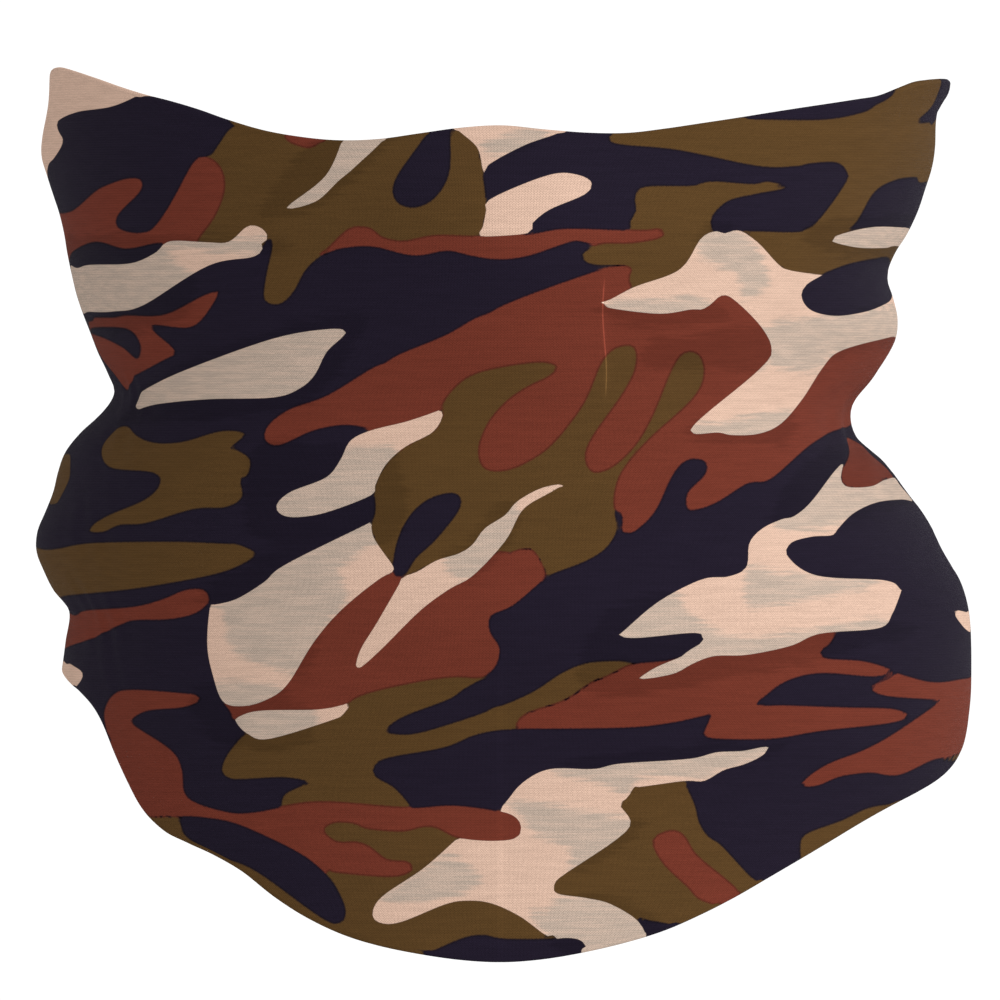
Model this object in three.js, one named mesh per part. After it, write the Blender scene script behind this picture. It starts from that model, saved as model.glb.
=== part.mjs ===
// Camouflage face mask: a knitted tube worn over the nose, the cheeks and the neck.
// Two cut panels, front and back, are closed by an overlocked seam at each side.
// Every open edge is turned inside as a narrow hem, and a care label hangs inside the nape.
//
// Millimetres, +Z up. The face looks along -Y and +X is the wearer's left, the viewer's right.
// The origin is on the neck's axis at the height of the crease under the jaw.
// Angles go round the head in degrees: 0 front, 90 at +X, -90 at -X, 180 nape.

import * as THREE from 'three';

// ---- driving dimensions ----------------------------------------------------------------

const mask_width = 192.8;        // over the widest rolls of cloth on the shoulders
const mask_height = 182.8;       // ear peak to the lowest point of the bib
const mask_depth = 200;          // nose to nape

const cloth_thickness = 0.8;     // one layer of the knit
const hem_width = 8;             // cloth turned inside along the top and bottom edges
const hem_step = 0.6;            // height over which the turned layer starts
const seam_allowance = 6;        // cloth past the stitching, standing inside each side seam
const piece_gap = 0.3;           // clearance between two pieces that touch

const needle_to_wall = 1.6;      // needle thread to the wall that the allowance stands on
const looper_thickness = 0.5;
const needle_radius = 0.25;
const hem_thread_radius = 0.3;
const hem_thread_inset = 1.6;    // stitching to the raw edge of the turned hem

const label_width = 28;
const label_length = 36;
const label_thickness = 0.6;
const label_seat_height = -21;   // where the label is sewn inside the back
const label_thread_radius = 0.5;

const nose_rise = 9;             // how far the nose lifts the cloth
const nose_height = 34;
const nose_reach = 22;           // spread of the lifted cloth, up and down
const nose_angle = 15;           // spread of the lifted cloth, round the face
const chin_rise = 4;
const chin_height = -44;
const chin_reach = 16;
const chin_angle = 20;

const section_power = 2.2;       // 2 is an ellipse, more is squarer
const panel_columns = 36;        // facets from seam to seam
const body_rows = 26;            // facets between the two hems
const thread_sides = 6;
const hem_thread_skip = 1;       // columns left free at each seam, to clear the allowance

// ---- drafted shape ---------------------------------------------------------------------
// The tables are drafted at these overall sizes and scaled to the driving dimensions.

const drafted_width = 192.8;
const drafted_height = 182.8;
const drafted_depth = 200;
const stretch_x = mask_width / drafted_width;
const stretch_y = mask_depth / drafted_depth;
const stretch_z = mask_height / drafted_height;

// Half-width at each side seam by height, with the soft rolls that the cloth lies in.
const left_rolls = [
  [-114, 84], [-80, 88], [-60, 90.6], [-53, 90.9], [-47, 89.6], [-42.8, 89.4], [-40, 91.8],
  [-34.5, 94.7], [-29.5, 96.3], [-25, 95.4], [-20, 93.1], [-15, 91.9], [-8.8, 89.3], [-3, 83.6],
  [0.8, 80], [11, 83.7], [21, 87.5], [29, 89.4], [37, 90.8], [45, 93.4], [52, 95.2], [60, 93.8],
  [69, 93.3],
];
const right_rolls = [
  [-114, 84], [-90, 89], [-76, 93.5], [-70, 95.2], [-61, 96.4], [-50, 96.5], [-44, 96.1],
  [-39, 95.1], [-34.5, 93.1], [-31.4, 90.8], [-25, 88], [-20, 84.5], [-16.4, 81.5], [-12, 78.4],
  [-9, 74.5], [-6.4, 71], [-3.7, 71.6], [-1, 70.9], [4.5, 75.9], [8.6, 78.5], [12.7, 80.8],
  [16.5, 81.4], [22, 80.3], [26, 79.1], [28.7, 79.6], [33, 82.3], [39.4, 85.5], [45.5, 87.5],
  [50, 88.8], [54.5, 89], [57.6, 88], [61, 90.6], [64.8, 92.4], [69, 92],
];

// The same half-widths without the rolls, which fade out towards the front and the nape.
const left_body = [
  [-114, 84], [-80, 88], [-60, 90], [-35, 91], [-15, 89], [0, 84], [21, 87], [45, 92], [69, 93],
];
const right_body = [
  [-114, 84], [-90, 89], [-61, 96], [-35, 91], [-15, 82], [0, 75], [22, 81], [45, 88], [69, 91],
];
const roll_fade_power = 4;

// Depth in front of the neck's axis and behind it, by height.
const front_depth = [
  [-114, 98], [-100, 94], [-85, 91], [-68, 93], [-50, 97], [-30, 98], [-5, 96], [15, 99],
  [36, 102], [56, 96], [69, 92],
];
const back_depth = [
  [-114, 86], [-68, 85], [-45, 84], [-20, 79], [-6, 74], [2, 75], [20, 84], [45, 89], [69, 88],
];

// Height of the top edge and of the bottom edge, by angle round the head.
const top_edge = [
  [-180, 42], [-135, 50], [-108, 62], [-97, 66], [-90, 67.4], [-84, 68.6], [-75, 68.8],
  [-63, 66.8], [-50, 63], [-42, 60.6], [-31, 55.8], [-24, 54], [-17, 53.4], [-9, 55], [-1, 56.5],
  [8, 55.2], [15, 55], [24, 56.8], [37, 59.6], [48, 61.6], [57, 63.1], [63, 65.1], [72, 66],
  [84, 66.2], [90, 65.7], [97, 63], [108, 58], [135, 49], [180, 42],
];
const bottom_edge = [
  [-180, -68], [-135, -60], [-108, -56], [-90, -55.5], [-82, -56.5], [-73, -58.8], [-68, -61],
  [-64, -65], [-60, -72.5], [-56, -81], [-52, -86], [-48, -89], [-42, -91.6], [-35, -96],
  [-31, -100], [-25, -105.2], [-18, -109.6], [-9, -112.8], [0, -114], [9, -112.4],
  [19, -108.4], [28, -102.7], [38, -95.5], [49, -88.2], [60, -82.3], [71, -77.7], [80, -73.8],
  [86, -70], [90, -66.5], [97, -64], [108, -62], [135, -63], [180, -68],
];

// ---- curves and sections ---------------------------------------------------------------

/** A smooth function through [place, value] points given in rising order. */
function smoothTable(points) {
  const slope = points.map((_, i) => {
    const before = points[Math.max(i - 1, 0)];
    const after = points[Math.min(i + 1, points.length - 1)];
    return (after[1] - before[1]) / (after[0] - before[0]);
  });
  return (place) => {
    if (place <= points[0][0]) return points[0][1];
    if (place >= points.at(-1)[0]) return points.at(-1)[1];
    const i = points.findIndex((point) => point[0] > place) - 1;
    const [x0, y0] = points[i];
    const [x1, y1] = points[i + 1];
    const span = x1 - x0;
    const t = (place - x0) / span;
    const rise = y0 * (1 + 2 * t) * (1 - t) ** 2 + y1 * t * t * (3 - 2 * t);
    return rise + span * t * (1 - t) * (slope[i] * (1 - t) - slope[i + 1] * t);
  };
}

const leftRolls = smoothTable(left_rolls);
const rightRolls = smoothTable(right_rolls);
const leftBody = smoothTable(left_body);
const rightBody = smoothTable(right_body);
const frontDepth = smoothTable(front_depth);
const backDepth = smoothTable(back_depth);
const topTable = smoothTable(top_edge);
const bottomTable = smoothTable(bottom_edge);

const topHeight = (angle) => topTable(angle) * stretch_z;
const bottomHeight = (angle) => bottomTable(angle) * stretch_z;

/** A soft hill of height 1 round zero. */
const hill = (distance, reach) => Math.exp(-((distance / reach) ** 2));

/** Half-width of the mask at one height, at one angle round the head. */
function halfWidth(angle, height) {
  const z = height / stretch_z;
  const sine = Math.sin(THREE.MathUtils.degToRad(angle));
  const fade = Math.abs(sine) ** roll_fade_power;
  const [body, rolls] = sine < 0 ? [leftBody(z), leftRolls(z)] : [rightBody(z), rightRolls(z)];
  return (body + (rolls - body) * fade) * stretch_x;
}

/** Half-depth of the mask at one height, at one angle, with the nose and the chin. */
function halfDepth(angle, height) {
  const z = height / stretch_z;
  if (Math.abs(angle) > 90) return backDepth(z) * stretch_y;
  const nose = nose_rise * hill(z - nose_height, nose_reach) * hill(angle, nose_angle);
  const chin = chin_rise * hill(z - chin_height, chin_reach) * hill(angle, chin_angle);
  return frontDepth(z) * stretch_y + nose + chin;
}

/** A point of the outer face moved inwards by inset, at one angle and height. */
function wallPoint(angle, height, inset) {
  const radians = THREE.MathUtils.degToRad(angle);
  const width = halfWidth(angle, height) - inset;
  const depth = halfDepth(angle, height) - inset;
  const across = Math.abs(Math.sin(radians) / width) ** section_power;
  const along = Math.abs(Math.cos(radians) / depth) ** section_power;
  const radius = (across + along) ** (-1 / section_power);
  return [radius * Math.sin(radians), -radius * Math.cos(radians), height];
}

/** A closed body from rings of points, all of one length, with a lid on the first and last. */
function loft(rings, lidFaces, inwards = false) {
  const size = rings[0].length;
  const faces = [];
  for (let row = 0; row + 1 < rings.length; row += 1) {
    for (let i = 0; i < size; i += 1) {
      const next = (i + 1) % size;
      const a = row * size + i;
      const b = row * size + next;
      faces.push([a, b, b + size], [a, b + size, a + size]);
    }
  }
  const top = (rings.length - 1) * size;
  for (const [a, b, c] of lidFaces) {
    faces.push([c, b, a], [top + a, top + b, top + c]);
  }
  const outward = inwards ? faces.map(([a, b, c]) => [c, b, a]) : faces;
  const geometry = new THREE.BufferGeometry();
  geometry.setAttribute('position', new THREE.Float32BufferAttribute(rings.flat(2), 3));
  geometry.setIndex(outward.flat());
  geometry.computeVertexNormals();
  return geometry;
}

// ---- the two panels --------------------------------------------------------------------

const hem_stitching = hem_width - hem_thread_inset;
const hem_rows = 3;

/** Heights of one column of a panel, from its bottom edge to its top edge. */
function columnHeights(angle) {
  const bottom = bottomHeight(angle);
  const top = topHeight(angle);
  const low = bottom + hem_width + hem_step;
  const high = top - hem_width - hem_step;
  const heights = [bottom, bottom + hem_stitching, bottom + hem_width];
  for (let row = 0; row <= body_rows; row += 1) {
    heights.push(low + (high - low) * row / body_rows);
  }
  heights.push(top - hem_width, top - hem_stitching, top);
  return heights;
}

/** Angles of a panel's columns, from one seam to the other. */
function panelAngles(facing) {
  const angles = [];
  for (let i = 0; i <= panel_columns; i += 1) {
    const sweep = -90 + 180 * i / panel_columns;
    const angle = facing === 'front' ? sweep : sweep + 180;
    angles.push(angle > 180 ? angle - 360 : angle);
  }
  return angles;
}

/** One panel: a curved wall with hems inside and an allowance standing in at each seam. */
function panelGeometry(facing) {
  const half_gap = piece_gap / 2;
  const turned = panelAngles(facing);
  const toward = facing === 'front' ? -1 : 1;
  const columns = turned.map(columnHeights);
  const rings = columns[0].map((_, row) => {
    const in_hem = row < hem_rows || row >= columns[0].length - hem_rows;
    const inset = in_hem ? 2 * cloth_thickness : cloth_thickness;
    const outer = turned.map((angle, i) => wallPoint(angle, columns[i][row], 0));
    const inner = turned.map((angle, i) => wallPoint(angle, columns[i][row], inset));
    for (const end of [0, panel_columns]) {
      outer[end][1] = toward * half_gap;
      inner[end][1] = toward * (half_gap + cloth_thickness);
    }
    const allowance = (end) => {
      const [seam_x, , height] = outer[end];
      const tip_x = seam_x - Math.sign(seam_x) * (cloth_thickness + seam_allowance);
      return [
        [tip_x, toward * half_gap, height],
        [tip_x, toward * (half_gap + cloth_thickness), height],
      ];
    };
    const first = allowance(0);
    return [...outer, ...allowance(panel_columns), ...inner.reverse(), first[1], first[0]];
  });
  const last = panel_columns;
  const inner_start = last + 3;
  const lid = [];
  for (let i = 0; i < last; i += 1) {
    const across = inner_start + last - i;
    lid.push([i, i + 1, across - 1], [i, across - 1, across]);
  }
  lid.push([last, last + 1, last + 2], [last, last + 2, last + 3]);
  const tail = inner_start + last;
  lid.push([tail, tail + 1, tail + 2], [tail, tail + 2, 0]);
  return loft(rings, lid);
}

// ---- sewing threads --------------------------------------------------------------------

const needle_from_tip = seam_allowance - needle_to_wall - needle_radius;
const looper_reach = needle_from_tip - needle_radius - piece_gap;

/** The overlock loops of one side seam: a channel that wraps the two standing allowances. */
function looperGeometry(side) {
  const angle = 90 * side;
  const near = piece_gap / 2 + cloth_thickness + piece_gap;
  const far = near + looper_thickness;
  const rings = columnHeights(angle).map((height) => {
    const tip = halfWidth(angle, height) - cloth_thickness - seam_allowance;
    const back = tip - piece_gap - looper_thickness;
    const floor = tip - piece_gap;
    const front = tip + looper_reach;
    const outline = [
      [front, -far], [front, -near], [floor, -near], [floor, near],
      [front, near], [front, far], [back, far], [back, -far],
    ];
    return outline.map(([x, y]) => [side * x, y, height]);
  });
  const lid = [[0, 1, 2], [0, 2, 7], [2, 3, 7], [3, 6, 7], [3, 4, 5], [3, 5, 6]];
  return loft(rings, lid, side < 0);
}

/** A thread through stations that each give a centre and two directions across the thread. */
function threadGeometry(stations, radius) {
  const rings = stations.map(({ centre, across, up }) => {
    const ring = [];
    for (let i = 0; i < thread_sides; i += 1) {
      const turn = 2 * Math.PI * i / thread_sides;
      const reach = [radius * Math.cos(turn), radius * Math.sin(turn)];
      ring.push(centre.map((value, axis) => value + reach[0] * across[axis] + reach[1] * up[axis]));
    }
    return ring;
  });
  const lid = [];
  for (let i = 1; i + 1 < thread_sides; i += 1) lid.push([0, i, i + 1]);
  return loft(rings, lid);
}

/** The needle thread of one side seam, beside the loops on the front allowance. */
function needleGeometry(side) {
  const angle = 90 * side;
  const y = -(piece_gap / 2 + cloth_thickness + piece_gap + needle_radius);
  const stations = columnHeights(angle).map((height) => {
    const tip = halfWidth(angle, height) - cloth_thickness - seam_allowance;
    return { centre: [side * (tip + needle_from_tip), y, height], across: [1, 0, 0], up: [0, 1, 0] };
  });
  return threadGeometry(stations, needle_radius);
}

/** The stitching of one hem, inside one panel, from seam to seam, bending where its facets do. */
function hemThreadGeometry(facing, edge) {
  const inset = 2 * cloth_thickness + piece_gap + hem_thread_radius;
  const angles = panelAngles(facing).slice(hem_thread_skip, -hem_thread_skip);
  const stations = angles.map((angle) => {
    const edge_height = edge === 'top' ? topHeight(angle) : bottomHeight(angle);
    const height = edge === 'top' ? edge_height - hem_stitching : edge_height + hem_stitching;
    const centre = wallPoint(angle, height, inset);
    const length = Math.hypot(centre[0], centre[1]);
    return { centre, across: [centre[0] / length, centre[1] / length, 0], up: [0, 0, 1] };
  });
  return threadGeometry(stations.reverse(), hem_thread_radius);
}

// ---- care label ------------------------------------------------------------------------

const label_inside = wallPoint(180 - 12, label_seat_height, cloth_thickness)[1];
const label_y = label_inside - piece_gap - label_thread_radius;

function labelThreadGeometry() {
  const geometry = new THREE.CylinderGeometry(label_thread_radius, label_thread_radius, label_width, 8);
  geometry.rotateZ(Math.PI / 2);
  return geometry.translate(0, label_y, label_seat_height);
}

function labelGeometry() {
  const top = label_seat_height - label_thread_radius - piece_gap;
  const geometry = new THREE.BoxGeometry(label_width, label_thickness, label_length);
  return geometry.translate(0, label_y, top - label_length / 2);
}

// ---- assembly --------------------------------------------------------------------------

const mask = new THREE.Group();

function addPiece(name, geometry, colour, roughness = 0.95) {
  const material = new THREE.MeshStandardMaterial({ color: colour, roughness, metalness: 0 });
  const piece = new THREE.Mesh(geometry, material);
  piece.name = name;
  mask.add(piece);
}

const print_colour = 0x5c4624;
const back_colour = 0x221d2c;
const thread_colour = 0x2a2638;
const label_colour = 0xf0eee8;

addPiece('front_panel', panelGeometry('front'), print_colour);
addPiece('back_panel', panelGeometry('back'), back_colour);
for (const [name, side] of [['left', -1], ['right', 1]]) {
  addPiece(`${name}_seam_looper_thread`, looperGeometry(side), thread_colour, 0.7);
  addPiece(`${name}_seam_needle_thread`, needleGeometry(side), thread_colour, 0.7);
}
for (const facing of ['front', 'back']) {
  for (const edge of ['top', 'bottom']) {
    addPiece(`${facing}_${edge}_hem_thread`, hemThreadGeometry(facing, edge), thread_colour, 0.7);
  }
}
addPiece('care_label', labelGeometry(), label_colour, 0.6);
addPiece('care_label_thread', labelThreadGeometry(), label_colour, 0.6);

export default mask;
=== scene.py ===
# %% [markdown]
# # A printed knit face mask
# The real thing is a light stretch tube that covers nose, cheeks, jaw and neck. Here it is taken to be cut
# as two panels of printed jersey, joined by an overlocked seam at each side, with a narrow hem turned in at
# the top and bottom and a small blank care label in the nape. This lesson builds the cloth on top of a
# plain model of the mask: the frame. The frame says where every surface is, and the lesson makes it look
# like cloth.

# %% Load the frame
import math
import bpy
import numpy as np
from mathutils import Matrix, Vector


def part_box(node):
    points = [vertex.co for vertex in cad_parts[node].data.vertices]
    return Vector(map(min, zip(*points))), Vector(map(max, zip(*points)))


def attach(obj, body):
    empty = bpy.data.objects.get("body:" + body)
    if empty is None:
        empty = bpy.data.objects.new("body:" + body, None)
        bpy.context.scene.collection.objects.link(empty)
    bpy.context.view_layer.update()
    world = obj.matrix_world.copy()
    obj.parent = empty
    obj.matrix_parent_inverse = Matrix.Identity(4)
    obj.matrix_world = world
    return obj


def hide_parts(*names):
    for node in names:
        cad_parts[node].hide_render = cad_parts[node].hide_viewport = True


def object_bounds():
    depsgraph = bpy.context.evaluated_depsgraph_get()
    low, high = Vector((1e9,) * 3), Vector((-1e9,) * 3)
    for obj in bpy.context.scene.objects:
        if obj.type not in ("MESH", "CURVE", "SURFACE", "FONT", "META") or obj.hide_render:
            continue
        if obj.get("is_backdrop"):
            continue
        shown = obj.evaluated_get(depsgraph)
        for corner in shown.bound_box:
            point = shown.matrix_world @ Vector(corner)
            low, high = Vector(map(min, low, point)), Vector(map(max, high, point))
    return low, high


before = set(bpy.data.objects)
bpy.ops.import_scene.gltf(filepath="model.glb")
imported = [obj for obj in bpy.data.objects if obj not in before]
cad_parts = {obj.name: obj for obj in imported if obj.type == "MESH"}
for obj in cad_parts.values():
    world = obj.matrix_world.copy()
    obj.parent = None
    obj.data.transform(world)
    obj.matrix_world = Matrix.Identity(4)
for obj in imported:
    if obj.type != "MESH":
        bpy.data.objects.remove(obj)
cad_low, cad_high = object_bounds()
MM = 0.001
print("frame nodes:", sorted(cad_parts))
print("frame box in mm:", [round(side / MM, 1) for side in Vector(cad_high) - Vector(cad_low)])

# %% [markdown]
# ## Camera first
# The mask is shown straight on and from far away, so that nothing is distorted. A very long lens at a long
# distance does that: the far side of the mask is drawn at nearly the same scale as the near side. The view
# is 205 mm wide at a depth about midway between the side seams and the nose.

# %% Camera
VIEW_WIDTH = 0.205
SENSOR_WIDTH = 36.0
LENS = 1500.0
VIEW_CENTRE = Vector((-0.0006, -0.045, -0.0201))

camera_data = bpy.data.cameras.new("camera")
camera_data.lens = LENS
camera_data.sensor_width = SENSOR_WIDTH
camera_data.clip_end = 100.0
camera = bpy.data.objects.new("camera", camera_data)
camera_distance = VIEW_WIDTH * LENS / SENSOR_WIDTH
camera.location = VIEW_CENTRE - Vector((0.0, camera_distance, 0.0))
camera.rotation_euler = (math.radians(90.0), 0.0, 0.0)
bpy.context.scene.collection.objects.link(camera)
bpy.context.scene.camera = camera
print("camera stands", round(camera_distance, 2), "m away")

# %% [markdown]
# ## Reading the control net
# Each panel of the frame was lofted over columns of points, one every five degrees round the head. The outer
# points of those columns are a perfect control net: a smooth surface drawn through them is the cloth. Rows
# that only mark the hem's step are left out, so that the remaining ones are evenly spaced.

# %% The net of one panel
COLUMN_STEP = 5
HEM_ROWS_LEFT_OUT = (2, 3, 29, 30)


def control_net(node, facing):
    """Outer points of a panel, [column, row, xyz] in mm. Facing is -1 for the front and 1 for the back."""
    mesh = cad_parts[node].data
    points = np.empty(len(mesh.vertices) * 3)
    mesh.vertices.foreach_get("co", points)
    points = points.reshape(-1, 3) / MM
    angle = np.degrees(np.arctan2(points[:, 0], facing * points[:, 1]))
    radius = np.hypot(points[:, 0], points[:, 1])
    columns = []
    for centre in range(-90, 91, COLUMN_STEP):
        near = np.abs(angle - centre) < 1.0
        heights = np.unique(np.round(points[near, 2], 2))
        levels = [near & (np.abs(points[:, 2] - height) < 0.02) for height in heights]
        columns.append([points[np.argmax(np.where(level, radius, 0.0))] for level in levels])
    net = np.array(columns)
    kept = [row for row in range(net.shape[1]) if row not in HEM_ROWS_LEFT_OUT]
    return net[:, kept]


front_net = control_net("front_panel", -1)
back_net = control_net("back_panel", 1)
print("control net, columns by rows:", front_net.shape[:2], back_net.shape[:2])

# %% [markdown]
# A curve that passes through given points and stays smooth is a Catmull-Rom spline. Used once along the rows
# and once along the columns it makes a surface. The first and last columns of a panel borrow a neighbour
# from the other panel, so that both panels leave the side seam in the same direction.

# %% A smooth curve through points


def blend_points(before, start, end, after, part):
    """The Catmull-Rom point between start and end, at part from 0 to 1."""
    linear = (end - before) * part
    square = (2 * before - 5 * start + 4 * end - after) * part ** 2
    cube = (3 * start - before - 3 * end + after) * part ** 3
    return 0.5 * (2 * start + linear + square + cube)


def along(points, places):
    """Points on the smooth curve through points, at fractional indices, along the first axis."""
    last = len(points) - 1
    start = np.clip(np.floor(places).astype(int), 0, last - 1)
    part = (places - start).reshape((-1,) + (1,) * (points.ndim - 1))
    padded = np.concatenate([2 * points[:1] - points[1:2], points, 2 * points[-1:] - points[-2:-1]])
    return blend_points(padded[start], padded[start + 1], padded[start + 2], padded[start + 3], part)


def even_places(points, spacing):
    """Fractional indices along the first axis that are evenly spaced, about spacing mm apart on average."""
    dense = np.linspace(0, len(points) - 1, 12 * len(points))
    steps = np.linalg.norm(np.diff(along(points, dense), axis=0), axis=-1)
    travelled = np.concatenate([[0.0], np.cumsum(steps.reshape(len(steps), -1).mean(axis=1))])
    count = int(round(travelled[-1] / spacing)) + 1
    return np.interp(np.linspace(0, travelled[-1], count), travelled, dense)


def smooth_surface(net, other_net, spacing):
    """An even grid of points, [column, row, xyz], on the smooth surface through a control net."""
    joined = np.concatenate([other_net[1:2], net, other_net[-2:-1]])
    columns = even_places(net, spacing) + 1.0
    rows = even_places(net.transpose(1, 0, 2), spacing)
    wide = along(joined, columns)
    return along(wide.transpose(1, 0, 2), rows).transpose(1, 0, 2)


FRONT_SPACING = 1.0
BACK_SPACING = 1.5
front_surface = smooth_surface(front_net, back_net, FRONT_SPACING)
back_surface = smooth_surface(back_net, front_net, BACK_SPACING)
print("cloth grid, columns by rows:", front_surface.shape[:2], back_surface.shape[:2])

# %% [markdown]
# ## Life in the cloth
# Jersey that is pulled over a form is never quite smooth. Long shallow waves run across it, slightly
# downhill, and it keeps faint marks from having been folded. The waves are a sum of seeded sine waves;
# they are so shallow that only the light on them shows them. The fold marks are soft little ridges: one
# down the middle of the neck, one on the cheek and one across the brow. All of them calm down towards the
# side seams, so that the outline of the mask stays where the frame has it.

# %% Waves and fold marks
WAVES = 14
WAVE_HEIGHT = 0.09
BACK_WAVE_SCALE = 1.6
FRONT_WAVE_SEED = 4
BACK_WAVE_SEED = 9
CALM_WIDTH = 25.0
FOLD_HEIGHT = 0.16
FOLD_WIDTH = 0.7
NECK_FOLD = -0.6
NECK_FOLD_ENDS = (-118, -46)
CHEEK_CREASE = 20.7
CHEEK_CREASE_SWAY = 0.3
CHEEK_CREASE_SWAY_LENGTH = 4.0
CHEEK_FOLD_ENDS = (-2, 28)
BROW_FOLD = 55.5
BROW_FOLD_ENDS = (50, 89)
ROUND_THE_RUN = 2 * math.pi


def waves(across, up, seed):
    """Height in mm of the shallow waves, at places given in mm across and up the cloth."""
    draw = np.random.default_rng(seed)
    height = np.zeros_like(across)
    for _ in range(WAVES):
        length = draw.uniform(13.0, 42.0)
        slope = draw.normal(0.15, 0.35)
        turn = draw.uniform(0.0, ROUND_THE_RUN)
        height += np.sin(ROUND_THE_RUN / length * (up * math.cos(slope) + across * math.sin(slope)) + turn)
    return height * WAVE_HEIGHT


def ridge(distance):
    """A soft ridge, 1 on its line and falling off to each side."""
    return np.exp(-(distance / FOLD_WIDTH) ** 2)


def within(value, low, high, soft):
    """1 between low and high, easing to 0 over soft mm at each end."""
    rise = np.clip((value - low) / soft, 0, 1)
    return rise * np.clip((high - value) / soft, 0, 1)


def from_cheek_crease(across, up):
    """How far each place lies to the right of the sharp crease on the cheek, which wanders a little."""
    return across - (CHEEK_CREASE + CHEEK_CREASE_SWAY * np.sin(up / CHEEK_CREASE_SWAY_LENGTH))


def front_folds(across, up):
    """How much of a fold mark is at each place of the front: on the neck, the cheek and the brow."""
    neck = ridge(across - NECK_FOLD) * within(up, *NECK_FOLD_ENDS, 8) * 0.6
    cheek = ridge(from_cheek_crease(across, up)) * within(up, *CHEEK_FOLD_ENDS, 6) * 0.6
    brow = ridge(up - BROW_FOLD) * within(across, *BROW_FOLD_ENDS, 4) * 0.5
    return neck + cheek + brow


sample = np.meshgrid(np.arange(99.0), np.arange(99.0))
print("tallest wave in mm:", round(float(waves(*sample, FRONT_WAVE_SEED).max()), 2))

# %% [markdown]
# ## From a surface to a sewn panel
# A sewn panel is one sheet that carries on past its visible face. At the top and bottom it turns over in a
# tight round fold and comes back on the inside as the hem. At the sides it turns in, face to face with the
# other panel, as the seam allowance, which is trimmed to a taper at both ends so that the hem lies flat.
# So the grid gets extra rows and extra columns, and every point also remembers where it lies on the flat
# cloth, because the print and the knit are laid out there.

# %% Helpers for grids
FOLD_RADIUS = 0.7
HEM_TURNS = 8
FOLD_STEPS = 6
SEAM_RADIUS = 0.5
ALLOWANCE = 6.2
ALLOWANCE_STEPS = 6
TRIM_LENGTH = 11.0
LEAST_ALLOWANCE = 0.1


def unit(vectors):
    """The same directions with length 1."""
    return vectors / np.linalg.norm(vectors, axis=-1, keepdims=True)


def travelled(points):
    """Distance in mm along the first axis."""
    steps = np.linalg.norm(np.diff(points, axis=0), axis=-1)
    return np.concatenate([np.zeros((1,) + steps.shape[1:]), np.cumsum(steps, axis=0)])


def directions(grid):
    """Unit vectors along the columns' order, up the rows, and out of the cloth."""
    sideways = unit(np.gradient(grid, axis=0))
    upward = unit(np.gradient(grid, axis=1))
    outward = unit(np.cross(sideways, upward))
    outward *= np.sign((outward[..., :2] * grid[..., :2]).sum(axis=-1).mean())
    return sideways, upward, outward


def quads(index, flip):
    """Four-sided faces between the points of a grid of vertex numbers."""
    corners = [index[:-1, :-1], index[1:, :-1], index[1:, 1:], index[:-1, 1:]]
    faces = np.stack(corners, axis=-1).reshape(-1, 4)
    return faces[:, ::-1] if flip else faces


def turned_edge(grid, outward, upward, lowest):
    """Rows for the fold and the hem at one edge of the grid, edge first, and their cloth length."""
    order = range(HEM_TURNS) if lowest else range(-1, -1 - HEM_TURNS, -1)
    edge = 0 if lowest else -1
    away = -upward[:, edge] if lowest else upward[:, edge]
    centre = grid[:, edge] - FOLD_RADIUS * outward[:, edge]
    turns = np.linspace(0, math.pi, FOLD_STEPS + 1)[1:]
    rows = [centre + FOLD_RADIUS * (outward[:, edge] * math.cos(a) + away * math.sin(a)) for a in turns]
    lengths = [FOLD_RADIUS * a for a in turns]
    for step, row in enumerate(order):
        if step:
            rows.append(grid[:, row] - 2 * FOLD_RADIUS * outward[:, row])
            gap = np.linalg.norm(grid[:, row] - grid[:, order[step - 1]], axis=-1).mean()
            lengths.append(lengths[-1] + gap)
    return np.stack(rows, axis=1), np.array(lengths)


def turned_side(column, sideways, outward):
    """Columns for the seam allowance, from the seam inwards, and their cloth length."""
    centre = column - SEAM_RADIUS * outward
    turns = np.linspace(0, math.pi / 2, 4)[1:]
    columns = [centre + SEAM_RADIUS * (outward * math.cos(a) + sideways * math.sin(a)) for a in turns]
    lengths = [SEAM_RADIUS * a for a in turns]
    place = travelled(column)
    from_end = np.minimum(place, place[-1] - place)
    trim = np.clip(from_end / TRIM_LENGTH, LEAST_ALLOWANCE, 1.0)[:, None]
    inward = trim * ALLOWANCE / ALLOWANCE_STEPS
    for _ in range(ALLOWANCE_STEPS):
        columns.append(columns[-1] - inward * outward)
        lengths.append(lengths[-1] + ALLOWANCE / ALLOWANCE_STEPS)
    return np.stack(columns), np.array(lengths)


# %% [markdown]
# `sewn_panel` puts those pieces together. It keeps the flat-cloth address of every point in two pairs of
# numbers. The `print` pair is where the point lies on the printed pattern. The `knit` pair is how far the
# stitches are counted across from the left seam and up from the lowest point.

# %% Sewn panel


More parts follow.
